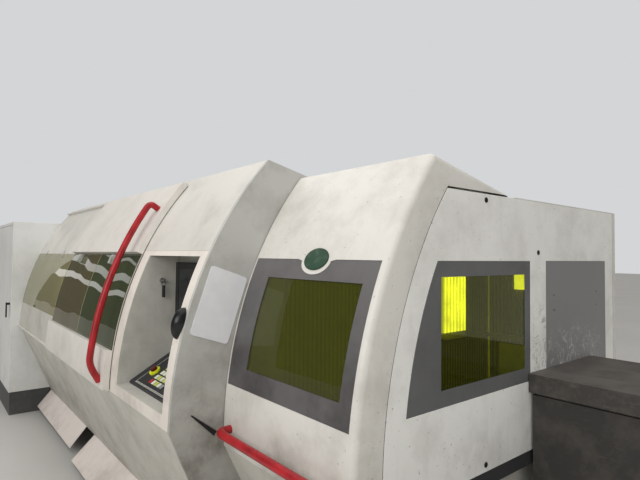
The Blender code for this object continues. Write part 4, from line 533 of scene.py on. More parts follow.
line_white = moulded("engraved_line", "#D8D8CC", 0.5)
strips = []
for u, v, wide, tall in ((0.060, 0.012, 0.50, 0.0022), (0.060, 0.018, 0.50, 0.0022), (0.060, 0.018, 0.0022, 0.235),
                         (0.5600, 0.018, 0.0022, 0.235), (0.060, 0.253, 0.5022, 0.0022)):
    strips.append(pad("line", u, v, wide, tall, 0, 0.0004, 0))
bpy.ops.object.select_all(action="DESELECT")
for strip in strips:
    strip.select_set(True)
bpy.context.view_layer.objects.active = strips[0]
bpy.ops.object.join()
border = strips[0]
border.name = "desk_border"
lay_on_desk(border)
finish_piece(border, line_white, "machine")

# Key field: square keycaps in white and yellow-green on a thin moulded mat, with one red key and one
# grey key at the front.
KEY, PITCH = 0.026, 0.034
KEY_U, KEY_V = 0.175, 0.030
key_colours = {"white": moulded("key_cap_white", "#DEE0CE", 0.42, worn="#8F8F80", wear=0.4),
               "lime": moulded("key_cap_lime", "#C3CC63", 0.42, worn="#7D8530", wear=0.4),
               "red": moulded("key_cap_red", "#B5222A", 0.4), "grey": moulded("key_cap_grey", "#8D9196", 0.42)}
layout = ("red white lime white grey", "white lime white lime white", "white white lime white white",
          "lime white white lime white")
mat_board = pad("key_mat_sheet", KEY_U, KEY_V, 5 * PITCH + 0.010, 4 * PITCH + 0.010, 0, 0.002)
lay_on_desk(mat_board)
finish_piece(mat_board, desk_black, "machine", ["key_mat"])
for row, names in enumerate(layout):
    for column, colour in enumerate(names.split()):
        cap = pad(f"key_cap_{row}_{column}", KEY_U + 0.010 + column * PITCH, KEY_V + 0.010 + row * PITCH,
                  KEY, KEY, 0.0021, 0.006, 0.0012)
        lay_on_desk(cap)
        finish_piece(cap, key_colours[colour], "machine")


# Emergency stop: a red mushroom head on a yellow collar, left of the keys. The key switch is nickel-plated
# and its bunch hangs in a black sleeve.
def recoat(finish, *nodes):
    """The finish on CAD nodes that are drawn as they are."""
    for node in nodes:
        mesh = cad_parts[node].data
        mesh.materials.clear()
        mesh.materials.append(finish)


key_black = moulded("key_sleeve", "#1B1B1D", 0.45, worn="#46464A", wear=0.4)
for node, finish in (("estop_collar", moulded("stop_collar_yellow", "#EAF12A", 0.35, worn="#9AA01E", wear=0.3)),
                     ("estop_button", moulded("stop_head_red", "#5A1013", 0.3, worn="#300A0B", wear=0.4)),
                     ("key_switch", bare_metal("switch_nickel", "#C4C5C7", 0.25, (200, 200, 4))),
                     ("switch_key", ground_steel), ("key_bunch", key_black)):
    recoat(finish, node)

# Monitor: a black moulded housing on the back of the recess, with a dark screen sunk into its front. The
# screen has an etched anti-glare face, with wiped smears on it.
housing = moulded("screen_housing", "#17181A", 0.42, 1.0, 0.00015, worn="#3A3A3C", wear=0.3)
low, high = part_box("monitor")
shell = box("monitor_housing", low, high)
cut(shell, box("pocket", low + Vector((0.035, -CLEAR, 0.035)), (high.x - 0.035, low.y + 0.008, high.z - 0.035)))
ease(shell, 0.004, steps=3)
finish_piece(shell, housing, "machine", ["monitor"])
screen_glass, tree, shader, place = blank("anti_glare_screen")
smear = add(tree, "TexNoise", {"Scale": 18.0, "Detail": 6.0}, {"Vector": place})
tone = add(tree, "ValToRGB", links={"Fac": smear})
tone.color_ramp.elements[0].color = linear("#15171A")
tone.color_ramp.elements[1].color = linear("#2A2E31")
gloss = add(tree, "MapRange", {"To Min": 0.12, "To Max": 0.35}, {"Value": smear})
fill(tree, shader, links={"Base Color": tone, "Roughness": gloss})
recoat(screen_glass, "monitor_screen")

# Hand piece: a black moulded pod that sits on the right post of the surround. It is domed, and narrower at
# its foot.
pod = bmesh.new()
bmesh.ops.create_uvsphere(pod, u_segments=40, v_segments=24, radius=1)
bmesh.ops.scale(pod, verts=pod.verts, vec=(0.0345, 0.069, 0.042))
bmesh.ops.bisect_plane(pod, geom=pod.verts[:] + pod.edges[:] + pod.faces[:], dist=0, plane_co=(0, 0, 0),
                       plane_no=(0, 0, -1), clear_outer=True)
bmesh.ops.holes_fill(pod, edges=[e for e in pod.edges if e.is_boundary])
for vert in pod.verts:
    if vert.co.y < 0:
        vert.co.x *= 1 + vert.co.y / 0.138 * 0.9
for face in pod.faces:
    face.smooth = True
grip_angle = arc_angle(1.345)
pod_place = Vector(((OPEN_HIGH + X_STEP) / 2, *polar(grip_angle, SEAT)))
bmesh.ops.transform(pod, verts=pod.verts, matrix=Matrix.Translation(pod_place)
                    @ Matrix.Rotation(math.pi / 2 - grip_angle, 4, "X"))
hand_piece = placed("hand_piece_moulding", pod)
hand_piece.data.set_sharp_from_angle(angle=math.radians(50))
finish_piece(hand_piece, moulded("pod_moulding", "#101114", 0.28, 1.5, 0.0002, worn="#2E2E31", wear=0.4), "machine",
             ["hand_piece"])

# Step bulkhead: the plate that carries the hull sheets. Where the cell is set back it shows as a curved fin in the
# hull's coat painted greyer, as painted shade on a face turned away from the overhead light, with dark rubbing
# marks low down.
fin_shaded_coat = powder_coat("fin_coat_painted_shade", "#BDBDB8", "#6A655C", 0.5, soil=0.5, streak=0.08, foot=(0.75, 1.3, 1.1))
recoat(fin_shaded_coat, "step_bulkhead", "left_bulkhead")

# Wipe-clean board: a thin white glossy sheet with a faint grey smear of old ink, stuck to the fin. Below
# it a tapered rubber strap.
board_gloss, tree, shader, place = blank("wipe_board_sheet")
smudge = add(tree, "TexNoise", {"Scale": 12.0, "Detail": 4.0}, {"Vector": place})
tone = add(tree, "ValToRGB", links={"Fac": smudge})
tone.color_ramp.elements[0].position = 0.35
tone.color_ramp.elements[0].color = linear("#ECECEE")
tone.color_ramp.elements[1].color = linear("#D8DBE2")
gloss = add(tree, "MapRange", {"To Min": 0.12, "To Max": 0.3}, {"Value": smudge})
fill(tree, shader, links={"Base Color": tone, "Roughness": gloss})
strap_rubber = moulded("strap_rubber", "#141414", 0.6, 2.0, 0.0003, worn="#3B3A38", wear=0.5)
recoat(board_gloss, "note_board")
recoat(strap_rubber, "fin_strap")

# Hood: a deep pressed cover over the cutting cell, hinged at its rear edge, with a soft outer corner and
# a flange that returns over the end of the machine.
CELL_RIDGE, HOOD_FOOT, HOOD_GAP, FLANGE, HOOD_DECK = 2.03, 0.80, 0.005, 0.135, 0.57
rear_y = on_arc(CELL_RIDGE, 0, CELL_ARC_Y)[0] + HOOD_DECK
x_hood = X_STEP + HOOD_GAP


def round_end(piece, radius, x_face):
    """Round the edges of the face at one end, as a deep pressing's corner."""
    work = bmesh.new()
    work.from_mesh(piece.data)
    rim = [e for e in work.edges if all(abs(v.co.x - x_face) < 0.0001 for v in e.verts)
           and any(abs(f.normal.x) < 0.5 for f in e.link_faces)]
    bmesh.ops.bevel(work, geom=rim, offset=radius, segments=5, profile=0.5, affect="EDGES", material=-1)
    work.to_mesh(piece.data)
    work.free()


def panel_curve(low, high, distance):
    """Points up the arc at a distance inside the hood's face, between two true heights."""
    radius = RADIUS - distance
    start, stop = (math.asin((z - ARC_HEIGHT) / radius) for z in (low, high))
    return [polar(start + (stop - start) * i / ARC_STEPS, -distance, CELL_ARC_Y) for i in range(ARC_STEPS + 1)]


cell_front = up_arc(ARC_HEIGHT, CELL_RIDGE, 0, CELL_ARC_Y)
outer = [(cell_front[0][0], HOOD_FOOT)] + cell_front + [(rear_y, DECK)]
hood = prism("hood_pressing", outer + [(rear_y, HOOD_FOOT)], x_hood, X_END)
round_end(hood, 0.025, X_END)
inner = inward(outer, SHEET)
fall = (CELL_RIDGE - DECK) / HOOD_DECK
hollow = prism("hood_room", [(inner[0][0], HOOD_FOOT - CLEAR)] + inner[1:-1]
               + [(rear_y + CLEAR, inner[-1][1] - CLEAR * fall), (rear_y + CLEAR, HOOD_FOOT - CLEAR)],
               x_hood - CLEAR, X_END - SHEET)
round_end(hollow, 0.021, X_END - SHEET)
flange_top = DECK + 0.004
window_side = (panel_curve(ARC_HEIGHT, flange_top, FLANGE)
               + [(rear_y + CLEAR, flange_top), (rear_y + CLEAR, HOOD_FOOT - CLEAR),
                  (polar(0, -FLANGE, CELL_ARC_Y)[0], HOOD_FOOT - CLEAR)])
BEZEL_LOW, BEZEL_HIGH, X_BADGE = 1.070, 1.627, X_STEP + 0.445


def bezel_shape(spare):
    """Bezel outline in (X, Z), with the notch round the oval badge."""
    left, right, low, high = X_STEP + 0.012 + spare, X_END - 0.030 - spare, BEZEL_LOW + spare, BEZEL_HIGH - spare
    half, deep, blend, share = 0.090 + spare, 0.060 + spare, 0.028, 0.12
    notch = [(X_BADGE + half + blend, high)]
    notch += [(X_BADGE + half * math.cos(math.pi * i / 24),
               high - deep * math.sin(math.pi * i / 24) * (1 - share) - deep * share) for i in range(25)]
    notch.append((X_BADGE - half - blend, high))
    return [(left, low), (right, low), (right, high)] + notch + [(left, high)]


cut(hood, hollow, prism("flange_side", window_side, X_END - 0.025, X_END + CLEAR),
    prism("bezel_side", bezel_shape(0), -DEPTH, 0.2, "Y"))
ease(hood, 0.0014)
hood_white = powder_coat("hood_powder_coat", "#D8D6D0", "#837E74", 0.42, soil=0.4, streak=0.08,
                         foot=(0.8, 1.1, 0.7), specks=0.6)
finish_piece(hood, hood_white, "hood", ["hood_shell"])

# Bezel: a steel plate painted in warm grey and rolled like the hood. It clamps the laser-safe window from
# the front and leaves room for the badge at its top.
bezel = prism("hood_bezel_plate", slab(BEZEL_LOW - CLEAR, BEZEL_HIGH + CLEAR, -0.006, -0.002, CELL_ARC_Y), x_hood,
              X_END - SHEET - SEAT)
cut(bezel, prism("form", bezel_shape(SEAT), -DEPTH, 0.2, "Y"), how="INTERSECT")
cut(bezel, box("daylight", (X_STEP + 0.150, -DEPTH, 1.153), (X_END - 0.092, 0.2, 1.545)))
ease(bezel, 0.0009)
# The bezel's foot darkens its lower part as painted shade, since its top catches more light.
bezel_grey = powder_coat("bezel_paint", "#6C6A6B", "#3C3A3B", 0.34, soil=0.4, streak=0.1, foot=(1.0, 1.75, 1.2),
                         specks=0.1)
finish_piece(bezel, bezel_grey, "hood", ["hood_bezel"])
laser_green = tinted_acrylic("laser_safe_green", "#A2A834", 0.92, 0.012)
glazing = prism("hood_window_sheet", slab(1.133, 1.565, -0.0123, -0.0063, CELL_ARC_Y), X_STEP + 0.130,
                X_END - 0.072)
ease(glazing, 0.0008)
finish_piece(glazing, laser_green, "hood", ["hood_window"])

# Badge: a plain oval plate on the tab above the window. Its face is dark green enamel, within a darker
# rim that stands round it.
badge_angle = arc_angle(BEZEL_HIGH)
badge_place = Matrix.Translation((X_BADGE, *polar(badge_angle, 0.0003, CELL_ARC_Y))) @ Matrix.Rotation(
    math.pi / 2 - badge_angle, 4, "X")
oval = [(math.cos(math.tau * i / 64), math.sin(math.tau * i / 64)) for i in range(64)]
badge_green = moulded("badge_enamel", "#2E4B3A", 0.3, 3.0, 0.0001, worn="#6E8577", wear=0.4)
for name, shrink, low, high, finish, stands in (
        ("badge_plate", 1.0, 0, 0.0024, moulded("badge_rim", "#2A3A30", 0.3), ["hood_badge"]),
        ("badge_face", 0.93, 0.0024, 0.0030, badge_green, [])):
    oval_plate = prism(name, [(u * 0.074 * shrink, v * 0.048 * shrink) for u, v in oval], low, high, "Z")
    oval_plate.data.transform(badge_place)
    ease(oval_plate, 0.0003)
    finish_piece(oval_plate, finish, "hood", stands)

# Hood handle: a straight tube on two bent legs, coated like the door's handle and screwed to the foot of
# the hood.
face_y = polar(0, SEAT, CELL_ARC_Y)[0]
x_low, x_high = X_STEP + 0.062, X_END - 0.062
leg = [(x_low, face_y)] + [(x_low + BEND * (1 - math.cos(math.pi / 2 * i / 8)),
                            face_y - REACH + BEND * (1 - math.sin(math.pi / 2 * i / 8))) for i in range(9)]
far = [(x_low + x_high - x, y) for x, y in leg[::-1]]
hood_grip = round_bar("hood_handle_tube", [(x, y, 0.885) for x, y in leg + far], TUBE_R)
finish_piece(hood_grip, grip_red("hood_handle_enamel", (14, 30, 30)), "hood", ["hood_handle"])

# Rear shell of the cell: folded box of deck, back wall and corner post, with the round barrel of the
# hood's hinge welded along its front edge.
PANEL_RIGHT, PANEL_LOW = 1.205, 0.765
back_y = DEPTH / 2
rear = box("cell_rear_box", (x_hood, rear_y + SEAT, FOOT), (X_END, back_y, DECK))
cut(rear, box("room", (X_STEP - CLEAR, -DEPTH, FOOT - CLEAR), (X_END - SHEET, back_y - SHEET, DECK - SHEET)),
    box("end_side", (X_END - 0.025, -DEPTH, FOOT - CLEAR), (X_END + CLEAR, PANEL_RIGHT + 0.004, DECK - SHEET)))


def rod(name, middle, radius, length, sides=24):
    """A round rod along the machine, with its middle at a point."""
    work = bmesh.new()
    bmesh.ops.create_cone(work, cap_ends=True, segments=sides, radius1=radius, radius2=radius, depth=length,
                          matrix=Matrix.Translation(middle) @ Matrix.Rotation(math.pi / 2, 4, "Y"))
    return placed(name, work)


cut(rear, rod("hinge_barrel", (X_STEP + 0.417, rear_y + 0.012, DECK + 0.006), 0.008, 0.634), how="UNION")
ease(rear, 0.0016)
finish_piece(rear, hood_white, "machine", ["cell_rear_shell"])

# Skirt under the hood: one sheet that falls back towards the floor, in the hull's coat painted greyer as painted
# shade, since it faces down. It folds round onto the end, which is set back there.
skirt_face = polar(0, 0, CELL_ARC_Y)[0]
skirt_line = [(skirt_face + SKIRT_FALL, FOOT), (skirt_face + SHEET, HOOD_FOOT - 0.004)]
x_skirt = X_END - 0.060
skirt = prism("cell_skirt_sheet", folded(skirt_line), X_STEP + SEAT, x_skirt)
mid_low, mid_high = inward(skirt_line, SHEET / 2)
end_wall_y = back_y - SHEET - SEAT
cut(skirt, prism("end_skirt", [mid_low, (end_wall_y, mid_low[1]), (end_wall_y, mid_high[1]), mid_high],
                 x_skirt - 0.006, x_skirt - 0.002), how="UNION")
cut(skirt, box("frame_room", (x_skirt - 0.008, skirt_face + 0.008, 0.6997), (x_skirt + CLEAR, back_y, 1.5)))
ease(skirt, 0.0012)
finish_piece(skirt, shaded_hull_coat, "machine", ["cell_skirt"])


# End panel: a flat white sheet that closes the cell, with a dark inlaid bezel, a bare inlaid plate on the
# right and a port low down. Rubbed marks darken it beside the window.
def scuffed(name, clean, mark, spot, spread, roughness=0.45):
    """Powder coat with a patch of scuffs round one spot of the sheet."""
    made = powder_coat(name, clean, "#8A857B", roughness, foot=(0.75, 1.05, 0.35), specks=0.6)
    tree = made.node_tree
    shader = tree.nodes["Principled BSDF"]
    place = add(tree, "TexCoord").outputs["Object"]
    coat = shader.inputs["Base Color"].links[0].from_socket
    near = add(tree, "Mapping", {"Location": tuple(-s / w for s, w in zip(spot, spread)),
                                 "Scale": tuple(1 / w for w in spread)}, {"Vector": place})
    reach = add(tree, "VectorMath", links={0: near}, operation="LENGTH")
    inside = add(tree, "MapRange", {"From Min": 1.0, "From Max": 0.2}, {"Value": reach.outputs["Value"]})
    swirl = add(tree, "TexNoise", {"Scale": 5.0}, {"Vector": place})
    bent = add(tree, "VectorMath", {1: (0.0, 0.9, 0.9)}, {0: swirl.outputs["Color"]}, operation="MULTIPLY")
    moved = add(tree, "VectorMath", links={0: place, 1: bent}, operation="ADD")
    tilted = add(tree, "Mapping", {"Rotation": (0.7, 0, 0), "Scale": (60, 48, 11)}, {"Vector": moved})
    strokes = add(tree, "TexNoise", {"Scale": 1.0, "Detail": 8.0, "Roughness": 0.75}, {"Vector": tilted})
    ink = add(tree, "MapRange", {"From Min": 0.54, "From Max": 0.62, "To Max": 0.85}, {"Value": strokes})
    much = add(tree, "Math", links={0: inside, 1: ink}, operation="MULTIPLY")
    tint = add(tree, "Mix", {7: linear(mark)}, {0: much, 6: coat}, data_type="RGBA")
    fill(tree, shader, links={"Base Color": tint.outputs[2]})
    return made


def round_tool(name, y, z, radius, sides=32):
    """A round tool through the end panel."""
    swings = [math.tau * i / sides for i in range(sides)]
    return prism(name, [(y + radius * math.cos(a), z + radius * math.sin(a)) for a in swings], X_END - CLEAR,
                 X_END + CLEAR)


def sheet_tool(name, y_low, y_high, z_low, z_high):
    return box(name, (X_END - CLEAR, y_low, z_low), (X_END + CLEAR, y_high, z_high))


PANEL_EDGE, INLAY_EDGE, INLAY_LOW, INLAY_HIGH, INLAY_RIGHT = 0.139, 0.240, 1.077, 1.626, 0.240
PLATE_Y, PLATE_Z, PORT_Y, PORT_Z = (0.390, 1.100), (1.000, 1.627), (0.325, 0.785), (0.790, 0.960)
VIEW_RIGHT, VIEW_LOW, VIEW_HIGH = 0.192, 1.140, 1.565
locks = ((-0.1261, 1.880), (0.316, 1.666), (-0.131, 0.794))


def upright_curve(low, high, distance):
    """Like panel_curve, but upright below the arc's centre."""
    points = panel_curve(max(low, ARC_HEIGHT), high, distance)
    return ([(points[0][0], low)] if low < ARC_HEIGHT else []) + points


def inlay_shape(spare):
    return (upright_curve(INLAY_LOW + spare, INLAY_HIGH - spare, INLAY_EDGE + spare)
            + [(INLAY_RIGHT - spare, INLAY_HIGH - spare), (INLAY_RIGHT - spare, INLAY_LOW + spare)])


panel_top = DECK - SHEET - SEAT
end_panel = prism("end_panel_sheet", upright_curve(PANEL_LOW, panel_top, PANEL_EDGE)
                  + [(PANEL_RIGHT, panel_top), (PANEL_RIGHT, PANEL_LOW)], X_END - SHEET, X_END)
cut(end_panel, prism("inlay", inlay_shape(0), X_END - CLEAR, X_END + CLEAR),
    sheet_tool("plate", *PLATE_Y, *PLATE_Z), sheet_tool("port", *PORT_Y, *PORT_Z),
    *[round_tool("lock", y, z, 0.0113) for y, z in locks])
ease(end_panel, 0.0011)
seal_top = panel_top - 0.010
seal = prism("panel_seal", upright_curve(PANEL_LOW + 0.010, seal_top, 0.1354)
             + upright_curve(PANEL_LOW + 0.010, seal_top, 0.1387)[::-1], X_END - 0.010, X_END - 0.0015)
finish_piece(seal, strap_rubber, "machine")
panel_white = scuffed("end_panel_coat", "#EAEAE6", "#3A3733", (X_END, 0.36, 1.17), (0.3, 0.20, 0.34))
finish_piece(end_panel, panel_white, "machine", ["end_panel"])
inlay = prism("end_inlay_plate", inlay_shape(SEAT), X_END - SHEET, X_END - 0.001)
pane_y = panel_curve(VIEW_LOW, VIEW_HIGH, INLAY_EDGE + 0.049)[-1][0]
cut(inlay, sheet_tool("daylight", pane_y, VIEW_RIGHT, VIEW_LOW, VIEW_HIGH))
ease(inlay, 0.0008)
inlay_grey = powder_coat("end_inlay_paint", "#656667", "#474748", 0.42, soil=0.5, streak=0.2, specks=0.1)
finish_piece(inlay, inlay_grey, "machine", ["end_bezel"])
plate = box("blank_plate_sheet", (X_END - SHEET, PLATE_Y[0] + SEAT, PLATE_Z[0] + SEAT),
            (X_END - 0.001, PLATE_Y[1] - SEAT, PLATE_Z[1] - SEAT))
cut(plate, *[round_tool("hole", y, z, 0.005, 20) for y in (0.475, 0.974) for z in (1.458, 1.386)])
ease(plate, 0.0008)
plate_grey = scuffed("blank_plate_paint", "#828284", "#DAD8D3", (X_END, 0.66, 1.10), (0.3, 0.46, 0.24), 0.4)
finish_piece(plate, plate_grey, "machine", ["blank_plate"])

# End window: laser-safe acrylic in a vivid yellow-green. The pane lies behind the inlaid bezel and laps it
# by 20 mm on each side.
safe_yellow = tinted_acrylic("laser_safe_yellow", "#CDD41E", 0.97, 0.004)
end_pane = box("end_window_sheet", (X_END - SHEET - SEAT - 0.006, pane_y - 0.020, VIEW_LOW - 0.020),
               (X_END - SHEET - SEAT, VIEW_RIGHT + 0.020, VIEW_HIGH + 0.020))
ease(end_pane, 0.0008)
finish_piece(end_pane, safe_yellow, "machine", ["end_window"])

# Quarter-turn locks of the end panel: black moulded heads with a slot for a coin. Each one turns in its own
# round hole.
lock_black = moulded("lock_moulding", "#1A1A1C", 0.35)
for i, (y, z) in enumerate(locks):
    lock_head = rod(f"lock_head_{i}", (X_END - 0.0009, y, z), 0.011, 0.0062, 32)
    cut(lock_head, box("slot", (X_END + 0.0010, y - 0.0012, z - 0.008), (X_END + CLEAR, y + 0.0012, z + 0.008)))
    ease(lock_head, 0.0005)
    finish_piece(lock_head, lock_black, f"lock_{i}", [f"panel_lock_{i}"])

# Kick plates: folded sheets that slant out from under the skirt, with a lip screwed to it. Boots and
# trolleys have scuffed them.
kick_coat = powder_coat("kick_powder_coat", "#EAE1DB", "#948A82", 0.5, soil=0.4, streak=0.1, foot=(0.04, 0.2, 0.5))
for side, reach, low, x_from, x_to in (("left", 0.125, 0.05, X_HULL + SEAT, X_HULL + 1.41),
                                       ("right", 0.165, 0.04, X_DOOR + 0.12, X_SHELL)):
    line = [(y_skirt - reach, low), (y_skirt, FOOT - SEAT), (y_skirt + 0.030, FOOT - SEAT)]
    kick = prism(f"kick_sheet_{side}", folded(line), x_from, x_to)
    ease(kick, 0.0012)
    finish_piece(kick, kick_coat, "machine", [f"kick_plate_{side}"])

# Electrical cabinet: a welded sheet cabinet in light grey on a dark plinth. Its door lies flush in the
# front and closes with a black lever.
X_LEFT, CABINET_Y, PLINTH, CABINET_TOP = -3.35, -1.21, 0.23, 1.96
cabinet_coat = powder_coat("cabinet_powder_coat", "#D9DAD8", "#A09E99", 0.42, soil=0.3, streak=0.2,
                           foot=(0.2, 0.8, 0.3))
cabinet = box("cabinet_case", (X_LEFT, CABINET_Y, PLINTH), (X_HULL, back_y, CABINET_TOP))
cut(cabinet, box("room", (X_LEFT + SHEET, CABINET_Y + 0.0203, PLINTH + SHEET),
                 (X_HULL - SHEET, back_y - SHEET, CABINET_TOP - SHEET)),
    box("doorway", (X_LEFT + 0.030, CABINET_Y - CLEAR, PLINTH + 0.030),
        (X_HULL - 0.030, CABINET_Y + 0.020 + CLEAR, CABINET_TOP - 0.030)))
ease(cabinet, 0.0025)
finish_piece(cabinet, cabinet_coat, "machine", ["cabinet_body"])
plinth_paint = powder_coat("plinth_paint", "#3A3C3F", "#6B665F", 0.5, soil=0.5, foot=(0.0, 0.15, 0.6))
for node, finish, body, slot, edge in (("cabinet_door", cabinet_coat, "cabinet_leaf", "cabinet_grey", 0.002),
                                       ("cabinet_plinth", plinth_paint, "machine", "plinth_dark", 0.003)):
    leaf = box(node + "_sheet", *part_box(node))
    ease(leaf, edge)
    finish_piece(leaf, finish, body, [node])
recoat(lock_black, "cabinet_lever")


# Outfeed bin: a welded sheet box in old dark paint, with a raised neck and an overhanging lid. The
# lid's top is dusty and scratched, and bright edges show where the paint has gone.
def old_paint(name, base, pale, dust, level):
    """Dark paint rubbed by years of handling, with dust that lies on what faces up at a level."""
    made, tree, shader, place = blank(name)
    blotch = add(tree, "TexNoise", {"Scale": 7.0, "Detail": 8.0, "Roughness": 0.7}, {"Vector": place})
    long_way = add(tree, "Mapping", {"Rotation": (0.3, 0.2, 0.5), "Scale": (8, 70, 50)}, {"Vector": place})
    stroke = add(tree, "TexNoise", {"Scale": 1.0, "Detail": 6.0, "Roughness": 0.6}, {"Vector": long_way})
    worn = add(tree, "MapRange", {"From Min": 0.45, "From Max": 0.8, "To Max": 0.7}, {"Value": blotch})
    lines = add(tree, "MapRange", {"From Min": 0.6, "From Max": 0.7, "To Max": 0.45}, {"Value": stroke})
    marks = add(tree, "Math", links={0: worn, 1: lines}, operation="MAXIMUM")
    coat = add(tree, "Mix", {6: linear(base), 7: linear(pale)}, {0: marks}, data_type="RGBA")
    height = add(tree, "SeparateXYZ", links={"Vector": place})
    lying = add(tree, "MapRange", {"From Min": level - 0.002, "From Max": level}, {"Value": height.outputs["Z"]})
    cover = add(tree, "MapRange", {"From Min": 0.3, "From Max": 0.6, "To Min": 0.35, "To Max": 0.9},
                {"Value": blotch})
    amount = add(tree, "Math", links={0: lying, 1: cover}, operation="MULTIPLY")
    tint = add(tree, "Mix", {7: linear(dust)}, {0: amount, 6: coat.outputs[2]}, data_type="RGBA")
    gloss = add(tree, "MapRange", {"To Min": 0.42, "To Max": 0.72}, {"Value": blotch})
    bump = add(tree, "Bump", {"Strength": 0.25, "Distance": 0.0006}, {"Height": stroke})
    fill(tree, shader, links={"Base Color": tint.outputs[2], "Roughness": gloss, "Normal": bump})
    return made


X_BIN, X_BIN_END, BIN_Y, BIN_BACK, BIN_TOP = X_END + 0.011, X_RIGHT - 0.010, 0.235, 0.875, 1.018
LID_LOW, LID_TOP, NECK, LID_LAP, PIN_R, PIN_INSET = 1.030, 1.115, 0.012, 0.018, 0.009, 0.1
bin_body = box("bin_body", (X_BIN, BIN_Y, 0), (X_BIN_END, BIN_BACK, BIN_TOP))
cut(bin_body, box("neck", (X_BIN + NECK, BIN_Y + NECK, BIN_TOP - CLEAR),
                  (X_BIN_END - NECK, BIN_BACK - NECK, LID_TOP - SHEET - SEAT)), how="UNION")
cut(bin_body, box("room", (X_BIN + SHEET, BIN_Y + SHEET, SHEET),
                  (X_BIN_END - SHEET, BIN_BACK - SHEET, BIN_TOP - SHEET)),
    box("mouth", (X_BIN + NECK + SHEET, BIN_Y + NECK + SHEET, BIN_TOP - CLEAR),
        (X_BIN_END - NECK - SHEET, BIN_BACK - NECK - SHEET, LID_TOP + CLEAR)),
    box("port", (X_END - CLEAR, PORT_Y[0], PORT_Z[0]), (X_BIN + NECK, PORT_Y[1], PORT_Z[1])))
pin_y, pin_z = BIN_BACK + 0.027, LID_LOW - 0.013
pin = rod("lid_pin", ((X_BIN + X_BIN_END) / 2, pin_y, pin_z), PIN_R, X_BIN_END - X_BIN - 2 * PIN_INSET)
cut(bin_body, box("knuckle", (X_BIN + PIN_INSET, BIN_BACK - SHEET / 2, pin_z - PIN_R),
                  (X_BIN_END - PIN_INSET, pin_y, pin_z)), how="UNION")
cut(bin_body, pin, how="UNION")
ease(bin_body, 0.0018)
finish_piece(bin_body, old_paint("bin_paint", "#302E2C", "#5B554F", "#5E5851", 1.02), "machine", ["outfeed_bin"])
lid = box("bin_lid_pressing", (X_END + SEAT, BIN_Y - LID_LAP, LID_LOW), (X_RIGHT, BIN_BACK + LID_LAP, LID_TOP))
cut(lid, box("room", (X_END + SEAT + SHEET, BIN_Y - LID_LAP + SHEET, LID_LOW - CLEAR),
             (X_RIGHT - SHEET, BIN_BACK + LID_LAP - SHEET, LID_TOP - SHEET)))
ease(lid, 0.003, steps=3)
finish_piece(lid, old_paint("lid_paint", "#3A3734", "#78706A", "#5F5A55", LID_TOP), "bin_lid", ["outfeed_lid"])

# Inside the cell: a fluted lamp cover that glows, on the wall towards the loader, and on the back wall a small
# block that glows as painted light, for a bright lit patch on that wall.
lamp_glow, tree, shader, place = blank("lamp_diffuser")
cloud = add(tree, "TexNoise", {"Scale": 8.0, "Detail": 2.0}, {"Vector": place})
# Emission is weaker in bands at the flutes' edges: painted shade between the flutes.
flute_shade_bands = add(tree, "TexWave", {"Scale": 8.8, "Distortion": 0.2}, {"Vector": place}, bands_direction="Y")
lit = add(tree, "Math", links={0: cloud, 1: flute_shade_bands}, operation="MULTIPLY")
glow = add(tree, "MapRange", {"From Max": 0.5, "To Min": 0.4, "To Max": 2.2}, {"Value": lit})
fill(tree, shader, {"Base Color": linear("#F2F2EC"), "Emission Color": linear("#FFFDF2"), "Roughness": 0.5},
     {"Emission Strength": glow})
LAMP_Y, LAMP_Z, FLUTES = (0.680, 0.930), (1.150, 1.510), 7
flute = (LAMP_Y[1] - LAMP_Y[0]) / FLUTES
face = []
for i in range(FLUTES):
    for k in range(9):
        swing = math.pi * k / 9
        face.append((X_STEP + 0.012 + 0.018 * math.sin(swing) ** 0.6, LAMP_Y[0] + flute * (i + k / 9)))
face.append((X_STEP + 0.012, LAMP_Y[1]))
lamp_cover = prism("lamp_cover", face + [(X_STEP + SEAT, LAMP_Y[1]), (X_STEP + SEAT, LAMP_Y[0])], *LAMP_Z, "Z")
ease(lamp_cover, 0, angle=40)
finish_piece(lamp_cover, lamp_glow, "machine", ["lamp_panel"])
# This block is no lamp: its glow is painted light for a patch lit on the back wall.
painted_light_patch = box("painted_light_patch", (1.865, 1.135, 1.430), (1.945, 1.160, 1.560))
ease(painted_light_patch, 0.004)
finish_piece(painted_light_patch, lamp_glow, "machine")

# Folded curtains of coated cloth, which keep sparks off the walls of the cell, with a steel ledge
# between the lower and the upper row and a plain cover plate low on the back wall.
cloth, tree, shader, place = blank("curtain_cloth")
weave = add(tree, "TexNoise", {"Scale": 40.0, "Detail": 6.0}, {"Vector": place})
tone = add(tree, "ValToRGB", links={"Fac": weave})
tone.color_ramp.elements[0].color = linear("#5E5F52")
tone.color_ramp.elements[1].color = linear("#8E8E80")
# Dark bands at the fold pitch, along X plus Y: painted shade in the pleats' folds, also on the side bellows.
spots = add(tree, "SeparateXYZ", links={"Vector": place})
along = add(tree, "Math", links={0: spots.outputs["X"], 1: spots.outputs["Y"]}, operation="ADD")
PITCH_FOLD = 0.028
turns = add(tree, "Math", {1: math.tau / PITCH_FOLD}, {0: along}, operation="MULTIPLY")
crease = add(tree, "Math", links={0: turns}, operation="SINE")
painted_fold_shade = add(tree, "MapRange", {"From Min": 0.1, "From Max": 0.9, "To Max": 0.85}, {"Value": crease})
cloth_with_fold_shade = add(tree, "Mix", {7: linear("#1E1E1A")}, {0: painted_fold_shade, 6: tone}, data_type="RGBA")
threads = add(tree, "TexNoise", {"Scale": 900.0}, {"Vector": place})
bump = add(tree, "Bump", {"Strength": 0.3, "Distance": 0.0002}, {"Height": threads})
fill(tree, shader, {"Roughness": 0.75, "Sheen Weight": 0.15}, {"Base Color": cloth_with_fold_shade.outputs[2], "Normal": bump})


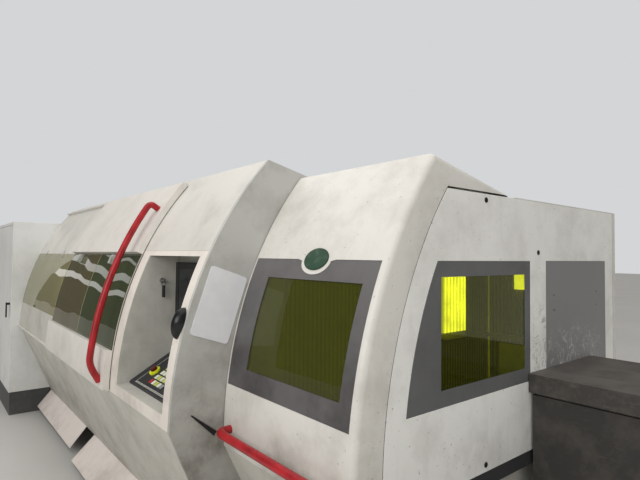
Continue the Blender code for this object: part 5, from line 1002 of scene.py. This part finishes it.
def pleats(name, start, way, depth_way, length, low, high):
    """A pleated curtain: from a corner along one way, folding towards another."""
    count = round(length / PITCH_FOLD)
    front = [Vector(start) + Vector(way) * (length * i / count / 2) + Vector(depth_way) * (0.022 * (i % 2))
             for i in range(2 * count + 1)]
    back = [spot - Vector(depth_way) * 0.004 for spot in front[::-1]]
    made = prism(name, [tuple(spot) for spot in front + back], low, high, "Z")
    ease(made, 0, angle=20)
    finish_piece(made, cloth, "machine")


pleats("wall_curtain_low", (X_STEP + 0.008, 0.690), (0, 1), (1, 0), 0.476, 0.745, 1.085)
pleats("wall_curtain_high", (X_STEP + 0.008, 0.950), (0, 1), (1, 0), 0.224, 1.115, 1.580)
pleats("back_curtain_low", (1.650, 1.190), (1, 0), (0, -1), 0.644, 0.745, 1.085)
pleats("back_curtain_high", (1.650, 1.190), (1, 0), (0, -1), 0.644, 1.115, 1.580)
recoat(cloth, "side_bellows")
# The grey is darker than the paint itself, as painted shade for the dim inside of the cell.
dimmed_machine_grey = powder_coat("machine_grey_darkened_for_shade", "#4A4C4E", "#302E2B", 0.5, soil=0.6, streak=0.3)
ledge = prism("curtain_ledge", [(X_STEP + 0.002, 0.685), (X_STEP + 0.040, 0.685), (X_STEP + 0.040, 1.150),
                                (2.300, 1.150), (2.300, 1.200), (X_STEP + 0.002, 1.200)], 1.088, 1.110, "Z")
ease(ledge, 0.0015)
finish_piece(ledge, dimmed_machine_grey, "machine")
cover_plate = box("back_cover_plate", (1.750, 1.146, 0.800), (1.940, 1.160, 1.060))
ease(cover_plate, 0.0015)
finish_piece(cover_plate, cabinet_coat, "machine")

# Inner machine: a welded bed and end frame in dark paint, with carriages in grey paint that is darkened as painted
# shade for the dim cell. The chucks and the cutting head are ground steel.
bed_paint = powder_coat("bed_paint", "#303235", "#4A4742", 0.55, soil=0.6, streak=0.4)
recoat(bed_paint, "bed", "end_frame")
recoat(dimmed_machine_grey, "head_carriage", "chuck_carriage")
recoat(ground_steel, "front_chuck", "rear_chuck", "cutting_head")
